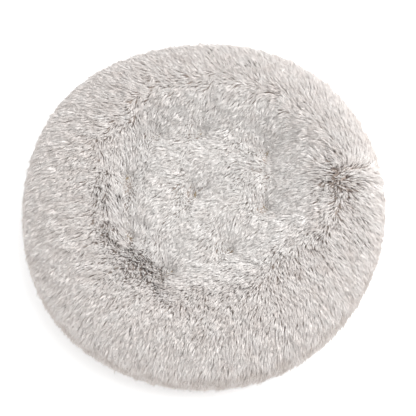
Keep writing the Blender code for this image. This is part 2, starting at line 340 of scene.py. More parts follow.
@dataclass(frozen=True)
class PileFinish:
    """Faux fur that is dark brown at the root and pale at the tip.

    The pile map's first number is the hair's tint, which carries painted shade on the flanks and painted
    light on the pad as well as random tone, and its second runs from root to tip.
    """

    root: Dye = Dye(0.47, 0.385, 0.345)
    root_deep: Dye = Dye(0.33, 0.255, 0.225)
    shadowed: Dye = Dye(0.86, 0.825, 0.80)
    dull: Dye = Dye(0.94, 0.915, 0.90)
    pale: Dye = Dye(0.975, 0.957, 0.945)
    bright: Dye = Dye(0.995, 0.985, 0.976)
    roughness: float = 0.75
    sheen: float = 0.15

    def build(self) -> bpy.types.Material:
        """Make the material, which reads nothing but the pile map.

        Returns:
            The material.
        """
        sheet, shader = new_material("pile", self.roughness, self.sheen)
        place = sheet.add("ShaderNodeUVMap", uv_map=PILE_MAP)
        parts = sheet.add("ShaderNodeSeparateXYZ", {"Vector": place.outputs["UV"]})
        # Tint ramp: its shadowed end is painted shade for the flank hairs, its bright end partly painted
        # light for the pad
        tint = sheet.ramp(
            parts.outputs["X"],
            [(0.0, self.shadowed), (0.3, self.dull), (0.6, self.pale), (1.0, self.bright)],
        )
        # Low tints also take the deep root colour, so the flank's painted shade reaches the roots
        root = sheet.ramp(parts.outputs["X"], [(0.2, self.root_deep), (0.8, self.root)])
        cover = sheet.add(
            "ShaderNodeMapRange",
            {"Value": parts.outputs["Y"], "From Min": 0.10, "From Max": 0.52},
            interpolation_type="SMOOTHSTEP",
        )
        blend = sheet.add("ShaderNodeMix", {"Factor": cover.outputs["Result"]}, data_type="RGBA")
        sheet.tree.links.new(root, blend.inputs["A"])
        sheet.tree.links.new(tint, blend.inputs["B"])
        sheet.tree.links.new(blend.outputs["Result"], shader.inputs["Base Color"])
        return sheet.material


class ClothEffects:
    """Shader groups that more than one cloth uses, each made once."""

    def __init__(self) -> None:
        """Build the groups."""
        self.weave = self.build_weave()
        self.fuzz = self.build_fuzz()

    @staticmethod
    def start(name: str, inputs: dict[str, float]) -> tuple[NodeSheet, bpy.types.Node, bpy.types.Node]:
        """Start a group.

        Args:
            name: The group's name.
            inputs: Name and starting value of each number it takes.

        Returns:
            Its sheet, its input node and its output node; the group puts out Height and Mask.
        """
        tree = bpy.data.node_groups.new(name, "ShaderNodeTree")
        for label, value in inputs.items():
            socket = tree.interface.new_socket(label, in_out="INPUT", socket_type="NodeSocketFloat")
            socket.default_value = value
        for label in ("Height", "Mask"):
            tree.interface.new_socket(label, in_out="OUTPUT", socket_type="NodeSocketFloat")
        sheet = NodeSheet(tree)
        return sheet, sheet.add("NodeGroupInput"), sheet.add("NodeGroupOutput")

    def build_weave(self) -> bpy.types.NodeTree:
        """Plain weave: crossed threads as a height, and the shade between them as a mask.

        Returns:
            The group's tree.
        """
        sheet, given, out = self.start("plain_weave", {"Thread Count": 900.0, "Looseness": 0.3})
        place = sheet.add("ShaderNodeTexCoord")
        bent = sheet.add(
            "ShaderNodeTexNoise", {"Vector": place.outputs["Object"], "Scale": 60.0, "Detail": 2.0}
        )
        drift = sheet.add(
            "ShaderNodeMath", {0: bent.outputs["Fac"], 1: given.outputs["Looseness"]}, operation="MULTIPLY"
        )
        parts = sheet.add("ShaderNodeSeparateXYZ", {"Vector": place.outputs["Object"]})
        threads = []
        for axis in ("X", "Y"):
            turns = sheet.add(
                "ShaderNodeMath",
                {0: parts.outputs[axis], 1: given.outputs["Thread Count"], 2: drift.outputs[0]},
                operation="MULTIPLY_ADD",
            )
            wave = sheet.add("ShaderNodeMath", {0: turns.outputs[0]}, operation="PINGPONG")
            wave.inputs[1].default_value = 1.0
            threads.append(wave.outputs[0])
        height = sheet.add("ShaderNodeMath", {0: threads[0], 1: threads[1]}, operation="MAXIMUM")
        shade = sheet.add("ShaderNodeMath", {0: threads[0], 1: threads[1]}, operation="MULTIPLY")
        sheet.tree.links.new(height.outputs[0], out.inputs["Height"])
        sheet.tree.links.new(shade.outputs[0], out.inputs["Mask"])
        return sheet.tree

    def build_fuzz(self) -> bpy.types.NodeTree:
        """Loose fibres: fine noise as a height, and slow blotches as a mask.

        Returns:
            The group's tree.
        """
        sheet, given, out = self.start("loose_fibres", {"Fibre Scale": 900.0, "Blotch Scale": 30.0})
        place = sheet.add("ShaderNodeTexCoord")
        for label, scale, detail in (("Height", "Fibre Scale", 4.0), ("Mask", "Blotch Scale", 3.0)):
            noise = sheet.add(
                "ShaderNodeTexNoise",
                {"Vector": place.outputs["Object"], "Scale": given.outputs[scale], "Detail": detail},
            )
            sheet.tree.links.new(noise.outputs["Fac"], out.inputs[label])
        return sheet.tree


@dataclass(frozen=True)
class ClothFinish:
    """Cloth, thread or fibre coloured by one of the shared effects."""

    name: str
    dark: Dye
    light: Dye
    effect: str
    values: tuple[tuple[str, float], ...]
    bump: float = 0.3
    bump_size: float = 0.0004
    roughness: float = 0.9
    sheen: float = 0.2

    def build(self, effects: ClothEffects) -> bpy.types.Material:
        """Make the material.

        Args:
            effects: The shared shader groups.

        Returns:
            The material.
        """
        sheet, shader = new_material(self.name, self.roughness, self.sheen)
        group = sheet.add("ShaderNodeGroup", node_tree=getattr(effects, self.effect))
        for label, value in self.values:
            group.inputs[label].default_value = value
        colour = sheet.ramp(group.outputs["Mask"], [(0.25, self.dark), (0.75, self.light)])
        bump = sheet.add(
            "ShaderNodeBump",
            {"Strength": self.bump, "Distance": self.bump_size, "Height": group.outputs["Height"]},
        )
        sheet.tree.links.new(colour, shader.inputs["Base Color"])
        sheet.tree.links.new(bump.outputs["Normal"], shader.inputs["Normal"])
        return sheet.material


# ------------------------------------------------------------------------------------------------
# The frame that every piece is placed from


@dataclass
class Layout:
    """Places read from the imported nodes."""

    ring_reach: float = 0.128
    reading_width: float = 0.06
    low: np.ndarray = field(init=False)
    high: np.ndarray = field(init=False)
    ties: dict[str, tuple[np.ndarray, np.ndarray]] = field(init=False)
    centre: np.ndarray = field(init=False)
    tufts: np.ndarray = field(init=False)

    def __post_init__(self) -> None:
        """Read the boxes of the cover, the ties and the base."""
        self.low, self.high = (np.array(corner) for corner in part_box("plush_cover"))
        names = [name for name in sorted(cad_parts) if name.startswith("tuft_tie_")]
        self.ties = {name: tuple(np.array(corner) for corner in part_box(name)) for name in names}
        self.centre = sum(self.ties["tuft_tie_centre"])[:2] / 2
        self.tufts = np.array([sum(corners)[:2] / 2 for corners in self.ties.values()])

    @staticmethod
    def node_points(name: str) -> np.ndarray:
        """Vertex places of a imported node.

        Args:
            name: The node's name.

        Returns:
            The places, one row each.
        """
        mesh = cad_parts[name].data
        flat = np.empty(len(mesh.vertices) * 3, np.float32)
        mesh.vertices.foreach_get("co", flat)
        return flat.reshape(-1, 3).astype(float)

    def loop_radius(self, name: str, angles: np.ndarray) -> np.ndarray:
        """Distance from the middle of the floor to a packed loop of thread.

        Args:
            name: The thread's node.
            angles: Where to read it.

        Returns:
            The distance to the middle of the thread at each angle.
        """
        points = self.node_points(name)
        around = np.arctan2(points[:, 1], points[:, 0])
        reach = np.hypot(points[:, 0], points[:, 1])
        weight = np.exp(-((angle_gap(angles[:, None], around) / self.reading_width) ** 2))
        return (weight * reach).sum(axis=1) / weight.sum(axis=1)


# ------------------------------------------------------------------------------------------------
# The stuffed body


@dataclass
class StuffedBody:
    """Both fillings as one form, blown up by cloth while its ties and its base hold still."""

    layout: Layout
    voxel: float = 0.0055
    pressure: float = 4.0
    frames: int = 20
    most_move: float = 0.009
    pad_move: float = 0.0025
    tie_hold: float = 0.009
    base_hold: float = 0.014
    cloth_mass: float = 0.3
    stretch_stiffness: float = 12.0
    bending_stiffness: float = 0.8
    quality: int = 4

    def start(self) -> bpy.types.Object:
        """Copy the fillings into one closed, evenly meshed object.

        Returns:
            The object.
        """
        parts = []
        for name in ("rim_filling", "centre_filling"):
            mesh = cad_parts[name].data
            mesh.calc_loop_triangles()
            faces = np.array([list(corner.vertices) for corner in mesh.loop_triangles])
            parts.append((Layout.node_points(name), faces))
        form = mesh_object("stuffed_form", *gathered(parts))
        remesh = form.modifiers.new("even", "REMESH")
        remesh.mode = "VOXEL"
        remesh.voxel_size = self.voxel
        self.apply(form)
        return form

    @staticmethod
    def apply(form: bpy.types.Object) -> None:
        """Replace the form's mesh by what its modifiers give.

        Args:
            form: The form, which loses its modifiers.
        """
        graph = bpy.context.evaluated_depsgraph_get()
        made = bpy.data.meshes.new_from_object(form.evaluated_get(graph))
        form.modifiers.clear()
        form.data = made

    def held(self, points: np.ndarray) -> np.ndarray:
        """How firmly each point is held: near a tie from above, and around the base.

        Args:
            points: Places of the form's points.

        Returns:
            A weight from 0 to 1 for each point.
        """
        gap = nearest_gap(points[:, :2], self.layout.tufts)
        by_tie = 1.0 - smoothstep(self.tie_hold, 2.2 * self.tie_hold, gap)
        by_base = 1.0 - smoothstep(0.6 * self.base_hold, 1.6 * self.base_hold, points[:, 2])
        return np.maximum(by_tie, by_base)

    def blow_up(self, form: bpy.types.Object) -> None:
        """Run the cloth and keep its result, with no point moved further than the cap.

        Args:
            form: The closed form to swell.
        """
        before = np.array([vertex.co for vertex in form.data.vertices], float)
        group = form.vertex_groups.new(name="held")
        for number, weight in enumerate(self.held(before)):
            if weight > 0.0:
                group.add([number], float(weight), "REPLACE")
        cloth = form.modifiers.new("stuffing", "CLOTH")
        settings = cloth.settings
        settings.quality = self.quality
        settings.mass = self.cloth_mass
        settings.tension_stiffness = settings.compression_stiffness = self.stretch_stiffness
        settings.bending_stiffness = self.bending_stiffness
        settings.use_pressure = True
        settings.uniform_pressure_force = self.pressure
        settings.vertex_group_mass = group.name
        settings.effector_weights.gravity = 0.0
        cloth.collision_settings.use_collision = False
        cloth.point_cache.frame_start = 1
        cloth.point_cache.frame_end = self.frames
        scene = bpy.context.scene
        for number in range(1, self.frames + 1):
            scene.frame_set(number)
        self.apply(form)
        scene.frame_set(1)
        after = np.array([vertex.co for vertex in form.data.vertices], float)
        move = after - before
        length = np.linalg.norm(move, axis=1, keepdims=True)
        reach = np.linalg.norm(before[:, :2] - self.layout.centre, axis=1, keepdims=True)
        cap = self.pad_move + (self.most_move - self.pad_move) * smoothstep(0.12, 0.17, reach)
        move *= np.minimum(1.0, cap / np.maximum(length, 1e-9))
        LOG.info("stuffed form: %d points, mean swell %.1f mm", len(before), 1000 * length.mean())
        form.data.vertices.foreach_set("co", (before + move).astype(np.float32).ravel())
        form.data.update()

    def build(self) -> BVHTree:
        """Make the form, read it into a search tree, and remove it.

        Returns:
            The tree that rays are cast on.
        """
        form = self.start()
        self.blow_up(form)
        points = [vertex.co.copy() for vertex in form.data.vertices]
        faces = [list(polygon.vertices) for polygon in form.data.polygons]
        bpy.data.objects.remove(form)
        return BVHTree.FromPolygons(points, faces)


# ------------------------------------------------------------------------------------------------
# The skin, laid flat


class Skin:
    """The stuffed body's outside as a grid around the middle tie.

    A place on it is a point of a flat disc: its angle is the direction from the middle tie, and its
    distance is the length of cloth from there, over the pad, the rim and down to the hem.
    """

    ROWS = 92
    COLUMNS = 252
    SPINE_INSET = 0.078
    SPINE_HEIGHT = 0.056
    HEM_HEIGHT = 0.006
    FLANK_FULLNESS = 0.004
    EASE_REACH = 0.030
    CREASE_ANGLES = (math.radians(10), math.radians(183))
    CREASE_WIDTH = 0.42
    SMOOTH_ROUNDS = 3
    EASE_ROUNDS = 60
    TOP_READINGS = 76
    FLANK_READINGS = 78
    FLANK_LEANS = (89.0, -66.0)

    def __init__(self, layout: Layout, form: BVHTree) -> None:
        """Read the grid from a form.

        Args:
            layout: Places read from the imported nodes.
            form: Search tree of the stuffed body.
        """
        self.layout = layout
        self.form = form
        self.angles = np.arange(self.COLUMNS) * 2 * math.pi / self.COLUMNS
        columns = [self.section(toward(angle)) for angle in self.angles]
        lengths = np.array([length for _, length in columns])
        grid = np.stack([points for points, _ in columns], axis=1)
        for _ in range(self.SMOOTH_ROUNDS):
            grid[1:-1] = self.smoothed(grid)
            grid = 0.25 * np.roll(grid, 1, 1) + 0.5 * grid + 0.25 * np.roll(grid, -1, 1)
        grid = self.grid = self.filled_flank(self.eased_valley(grid))
        self.length = float(lengths.mean())
        self.pull = self.length / lengths
        self.reach = np.linalg.norm(grid[..., :2] - layout.centre, axis=-1)
        self.down = unit(np.gradient(grid, axis=0))
        along = np.roll(grid, -1, 1) - np.roll(grid, 1, 1)
        self.normal = unit(np.cross(self.down, along))
        self.normal[0] = unit(self.normal[1].mean(axis=0))
        LOG.info("skin: %d by %d, %.0f mm from tie to hem", *self.grid.shape[:2], 1000 * self.length)

    @staticmethod
    def smoothed(grid: np.ndarray) -> np.ndarray:
        """Each inner row averaged with the rows before and after it."""
        return 0.25 * grid[:-2] + 0.5 * grid[1:-1] + 0.25 * grid[2:]

    def eased_valley(self, grid: np.ndarray) -> np.ndarray:
        """Bridge the valley between pad and rim with stuffing, less so beside its two creases.

        Args:
            grid: Points of the skin.

        Returns:
            The points with the valley filled.
        """
        eased = grid[..., 2].copy()
        for _ in range(self.EASE_ROUNDS):
            eased[1:-1] = self.smoothed(eased)
        plan = grid[..., :2]
        gap = nearest_gap(plan, self.layout.tufts)
        reach = np.linalg.norm(plan - self.layout.centre, axis=-1)
        near = np.exp(-(((reach - self.layout.ring_reach) / self.EASE_REACH) ** 2))
        crease = sum(
            np.exp(-((angle_gap(self.angles, middle) / self.CREASE_WIDTH) ** 2))
            for middle in self.CREASE_ANGLES
        )
        weight = near * (1.0 - 0.75 * crease) * (0.25 + 0.75 * smoothstep(0.006, 0.030, gap))
        grid = grid.copy()
        grid[..., 2] += weight * (eased - grid[..., 2])
        return grid

    def filled_flank(self, grid: np.ndarray) -> np.ndarray:
        """Stuff the outer flank fuller.

        Args:
            grid: Points of the skin.

        Returns:
            The points with the flank pushed out.
        """
        along = np.roll(grid, -1, 1) - np.roll(grid, 1, 1)
        normal = unit(np.cross(unit(np.gradient(grid, axis=0)), along))
        outer = smoothstep(0.200, 0.240, np.linalg.norm(grid[..., :2], axis=-1))
        steep = 1.0 - smoothstep(0.40, 0.90, normal[..., 2])
        share = outer * steep * smoothstep(0.006, 0.030, grid[..., 2])
        return grid + self.FLANK_FULLNESS * share[..., None] * normal

    def hit(self, start: np.ndarray, way: np.ndarray) -> np.ndarray | None:
        """First point of the form along a ray."""
        found = self.form.ray_cast(Vector(start), Vector(way))[0]
        return None if found is None else np.array(found)

    def section(self, way: np.ndarray) -> tuple[np.ndarray, float]:
        """Cut the body along one direction from the middle tie.

        Args:
            way: The direction in the floor plane.

        Returns:
            Points from the tie to the hem, evenly spaced, and the length they span.
        """
        centre = self.layout.centre
        edge = self.hit(np.append(centre + way * 0.6, 0.06), np.append(-way, 0.0))
        crest = np.linalg.norm(edge[:2] - centre) - self.SPINE_INSET
        found = []
        for reach in np.linspace(0.0005, crest, self.TOP_READINGS):
            found.append(self.hit(np.append(centre + way * reach, 0.3), -UP))
        spine = np.append(centre + way * crest, self.SPINE_HEIGHT)
        for lean in np.radians(np.linspace(*self.FLANK_LEANS, self.FLANK_READINGS)):
            point = self.hit(spine, np.append(way * math.cos(lean), math.sin(lean)))
            if point is not None and point[2] > self.HEM_HEIGHT:
                found.append(point)
        path = np.array([point for point in found if point is not None])
        steps = np.linalg.norm(np.diff(path, axis=0), axis=1)
        run = np.concatenate([[0.0], np.cumsum(steps)])
        even = np.linspace(0.0, run[-1], self.ROWS)
        return np.stack([np.interp(even, run, path[:, axis]) for axis in range(3)], axis=1), run[-1]

    def blend(self, field: np.ndarray, row: np.ndarray, column: np.ndarray) -> np.ndarray:
        """Read a grid between its points.

        Args:
            field: Numbers on the grid.
            row: Row of each place, with its fraction.
            column: Column of each place, with its fraction.

        Returns:
            The field at each place.
        """
        row = np.clip(row, 0, self.ROWS - 1.001)
        top, left = np.floor(row).astype(int), np.floor(column).astype(int)
        down, right = row - top, column - left
        left, beside = left % self.COLUMNS, (left + 1) % self.COLUMNS
        if field.ndim == 3:
            down, right = down[..., None], right[..., None]
        upper = field[top, left] * (1 - right) + field[top, beside] * right
        lower = field[top + 1, left] * (1 - right) + field[top + 1, beside] * right
        return upper * (1 - down) + lower * down

    def place(self, flat: np.ndarray) -> tuple[np.ndarray, np.ndarray]:
        """Row and column of places on the flat disc."""
        row = np.linalg.norm(flat, axis=-1) / self.length * (self.ROWS - 1)
        return row, np.arctan2(flat[..., 1], flat[..., 0]) / (2 * math.pi) * self.COLUMNS

    def at(self, flat: np.ndarray) -> tuple[np.ndarray, np.ndarray]:
        """Surface point and normal at places on the flat disc, running on past the hem.

        Args:
            flat: Places on the disc.

        Returns:
            The points and the normals.
        """
        row, column = self.place(flat)
        point = self.blend(self.grid, row, column)
        past = np.maximum(row - (self.ROWS - 1), 0.0) * self.length / (self.ROWS - 1)
        point = point + self.blend(self.down, row, column) * past[..., None]
        return point, unit(self.blend(self.normal, row, column))

    def shifted(self, flat: np.ndarray, out: np.ndarray, around: np.ndarray) -> np.ndarray:
        """Move places over the skin by true lengths.

        Args:
            flat: Places on the disc.
            out: How far each moves away from the middle tie.
            around: How far each moves counter-clockwise.

        Returns:
            The new places on the disc.
        """
        row, column = self.place(flat)
        span = np.linalg.norm(flat, axis=-1)
        reach = np.maximum(self.blend(self.reach, row, column), 1e-4)
        pull = self.pull[np.floor(column).astype(int) % self.COLUMNS]
        way = flat / np.maximum(span, 1e-9)[..., None]
        stretch = np.clip(span / reach, 1.0, 2.5)
        return flat + way * (out * pull)[..., None] + quarter_turn(way) * (around * stretch)[..., None]

    def seeds(self, pitch: float, rng: np.random.Generator) -> np.ndarray:
        """Scatter places evenly over the cloth.

        Args:
            pitch: Typical distance between neighbours.
            rng: Source of chance.

        Returns:
            Places on the flat disc.
        """
        high = np.linalg.norm(np.diff(self.grid, axis=0), axis=-1)
        wide = np.linalg.norm(np.roll(self.grid, -1, 1) - self.grid, axis=-1)
        area = high * 0.5 * (wide[:-1] + wide[1:])
        count = np.floor(area / pitch**2 + rng.random(area.shape)).astype(int)
        row, column = (np.repeat(index.ravel(), count.ravel()) for index in np.indices(area.shape))
        row = row + rng.random(len(row))
        column = column + rng.random(len(column))
        span = row / (self.ROWS - 1) * self.length
        return span[:, None] * toward(column / self.COLUMNS * 2 * math.pi)


# ------------------------------------------------------------------------------------------------
# The way the pile lies


@dataclass(frozen=True)
class Spot:
    """A place in plan where the pile does something of its own."""

    x: float
    y: float
    reach: float
    strength: float

    def gap(self, plan: np.ndarray) -> np.ndarray:
        """Steps in plan from the place's middle to other places."""
        return plan - np.array([self.x, self.y])

    def fall(self, plan: np.ndarray) -> np.ndarray:
        """Its strength at other places, fading with distance."""
        distance = np.linalg.norm(self.gap(plan), axis=1)
        return self.strength * np.exp(-((distance / self.reach) ** 2))


@dataclass
class Comb:
    """Direction of the pile over the skin, and where it opens down to its roots.

    Each swirl stop is a direction from the middle tie and the outer pile's turn there, both in degrees.
    The whorl's strength is the lean, in degrees, that its hairs lose. Each crease runs between two
    ties, given by their numbers.
    """

    skin: Skin
    parting_centre: tuple[float, float] = (0.014, 0.032)
    parting_radius: float = 0.180
    parting_width: float = 0.026
    parting_bulge: float = 0.026
    bulge_angle: float = math.radians(-50.0)
    open_spots: tuple[Spot, ...] = (
        Spot(0.224, 0.018, 0.034, 1.0),
        Spot(0.224, 0.076, 0.022, 0.60),
        Spot(0.240, -0.034, 0.026, 0.75),
        Spot(0.238, -0.078, 0.020, 0.55),
        Spot(-0.106, -0.112, 0.040, 1.0),
        Spot(-0.158, 0.010, 0.028, 0.80),
        Spot(-0.152, -0.058, 0.022, 0.6),
        Spot(-0.118, 0.125, 0.022, 0.45),
        Spot(0.085, 0.227, 0.024, 0.5),
        Spot(0.023, 0.262, 0.022, 0.45),
        Spot(0.212, 0.138, 0.020, 0.55),
        Spot(0.165, 0.195, 0.022, 0.5),
        Spot(0.182, -0.080, 0.024, 0.60),
        Spot(0.060, -0.148, 0.026, 0.5),
        Spot(0.058, 0.051, 0.026, 0.6),
        Spot(0.120, -0.095, 0.035, 0.30),
        Spot(-0.008, -0.060, 0.018, 0.35),
    )
    whorl: Spot = Spot(0.209, 0.031, 0.022, 26.0)
    crease_ends: tuple[tuple[int, int], ...] = ((8, 1), (4, 5))
    swirl_stops: tuple[tuple[float, float], ...] = (
        (0.0, -46.0), (4.0, -46.0), (6.0, 118.0), (21.0, 108.0), (30.0, 88.0), (45.0, 78.0), (60.0, 66.0),
        (90.0, 56.0), (125.0, 46.0), (150.0, 57.0), (168.0, 59.0), (180.0, 43.0), (198.0, 24.0), (220.0, 6.0),
        (245.0, -2.0), (270.0, -20.0), (295.0, -38.0), (318.0, -26.0), (330.0, -38.0), (345.0, -52.0),
        (360.0, -46.0),
    )
    swirl_blur: float = 4.0
    spot_push: float = 0.20
    tuft_push: float = -0.45
    tuft_reach: float = 0.022
    tuft_scale: float = 0.015

    def swirl(self, angle: np.ndarray) -> np.ndarray:
        """Turn of the outer pile, counter-clockwise from straight out.

        Args:
            angle: Direction from the middle tie, in radians.

        Returns:
            The turn in radians.
        """
        stops, turns = zip(*self.swirl_stops)
        return np.radians(np.interp(np.degrees(angle) % 360.0, stops, turns))

    def inner_heading(self, plan: np.ndarray) -> np.ndarray:
        """Way that the pile points inside the parting.

        Args:
            plan: Places seen from above.

        Returns:
            The heading in plan, in radians.
        """
        x, y = plan[:, 0], plan[:, 1]
        left = smoothstep(0.060, 0.120, -x)
        right = smoothstep(0.090, 0.150, x) * smoothstep(-0.060, -0.020, y)
        front = smoothstep(0.060, 0.110, -y) * smoothstep(0.060, 0.120, x)
        back = np.exp(-(((y - 0.065) / 0.040) ** 2)) * (1.0 - left) * (1.0 - right)
        return np.radians(232.0 + 44.0 * left - 27.0 * right + 38.0 * front - 12.0 * back)

    def crease_gap(self, plan: np.ndarray) -> np.ndarray:
        """Distance to the nearest crease pulled between two neighbouring ties.

        Args:
            plan: Places seen from above.

        Returns:
            The distance in plan.
        """
        gaps = []
        for first, second in self.crease_ends:
            start, end = (self.skin.layout.tufts[number - 1] for number in (first, second))
            along = np.clip((plan - start) @ (end - start) / ((end - start) @ (end - start)), 0.0, 1.0)
            gaps.append(np.linalg.norm(plan - start - along[:, None] * (end - start), axis=1))
        return np.min(gaps, axis=0)

    def outer_share(self, flat: np.ndarray, plan: np.ndarray) -> np.ndarray:
        """How far places are past the parting between the inner and the outer pile.

        Args:
            flat: Places on the flat disc.
            plan: The same places seen from above.

        Returns:
            0 inside the parting and 1 outside it, with a ragged step between.
        """
        gap = plan - np.array(self.parting_centre)
        bulge = np.clip(unit(gap) @ toward(self.bulge_angle), 0.0, 1.0) ** 3
        edge = self.parting_radius + self.parting_bulge * bulge
        beyond = (np.linalg.norm(gap, axis=1) - edge) / self.parting_width
        beyond = beyond + 0.35 * wave_noise(flat, 0.055, 34) + 0.25 * wave_noise(flat, 0.02, 35)
        beyond = beyond + 4.0 * smoothstep(0.235, 0.262, np.linalg.norm(plan, axis=1))
        return smoothstep(-1.1, 1.1, beyond)

    def pushes(self, plan: np.ndarray) -> list[np.ndarray]:
        """Steps in plan that the open places and the ties add to the pile's way.

        Args:
            plan: Places seen from above.

        Returns:
            One array of steps for each open place and each tie.
        """
        steps = []
        for spot in self.open_spots:
            steps.append(self.spot_push * spot.fall(plan)[:, None] * spot.gap(plan) / spot.reach)
        for tuft in self.skin.layout.tufts:
            apart = plan - tuft
            fall = np.exp(-((np.linalg.norm(apart, axis=1) / self.tuft_reach) ** 2))
            steps.append(self.tuft_push * fall[:, None] * apart / self.tuft_scale)
        return steps

    def directions(self, flat: np.ndarray, plan: np.ndarray) -> tuple[np.ndarray, np.ndarray]:
        """Comb the pile.

        Args:
            flat: Places on the flat disc.
            plan: The same places seen from above.

        Returns:
            Directions as (outwards, counter-clockwise), shorter than one where the pile stands up,
            and how open the pile is there.
        """
        centre = self.skin.layout.centre
        angle = np.arctan2(plan[:, 1] - centre[1], plan[:, 0] - centre[0])
        outer = self.outer_share(flat, plan)
        inner = self.inner_heading(plan) - angle + np.radians(6.0) * wave_noise(flat, 0.08, 31)
        shifts = (-self.swirl_blur, 0.0, self.swirl_blur)
        swirls = np.stack([self.swirl(angle + math.radians(shift)) for shift in shifts])
        out = outer * np.cos(swirls).mean(axis=0) + (1.0 - outer) * np.cos(inner)
        around = outer * np.sin(swirls).mean(axis=0) + (1.0 - outer) * np.sin(inner)
        way = np.stack([np.cos(angle), np.sin(angle)], axis=1)
        side = quarter_turn(way)
        for push in self.pushes(plan):
            out = out + (push * way).sum(axis=1)
            around = around + (push * side).sum(axis=1)
        opened = np.max([spot.fall(plan) for spot in self.open_spots], axis=0)
        turn = np.radians(5.0 * wave_noise(flat, 0.075, 32) + 4.0 * wave_noise(flat, 0.022, 33))
        combed = np.stack([out, around], axis=1)
        combed /= np.maximum(np.linalg.norm(combed, axis=1, keepdims=True), 1.0)
        return turned(combed, turn), opened


@dataclass
class Locks:
    """Where the locks of pile stand and how each one lies."""

    flat: np.ndarray
    point: np.ndarray
    combed: np.ndarray
    opened: np.ndarray
    flank: np.ndarray
    crease: np.ndarray
    length: np.ndarray
    tint: np.ndarray
    lean: np.ndarray
    curl: np.ndarray
    clump: np.ndarray


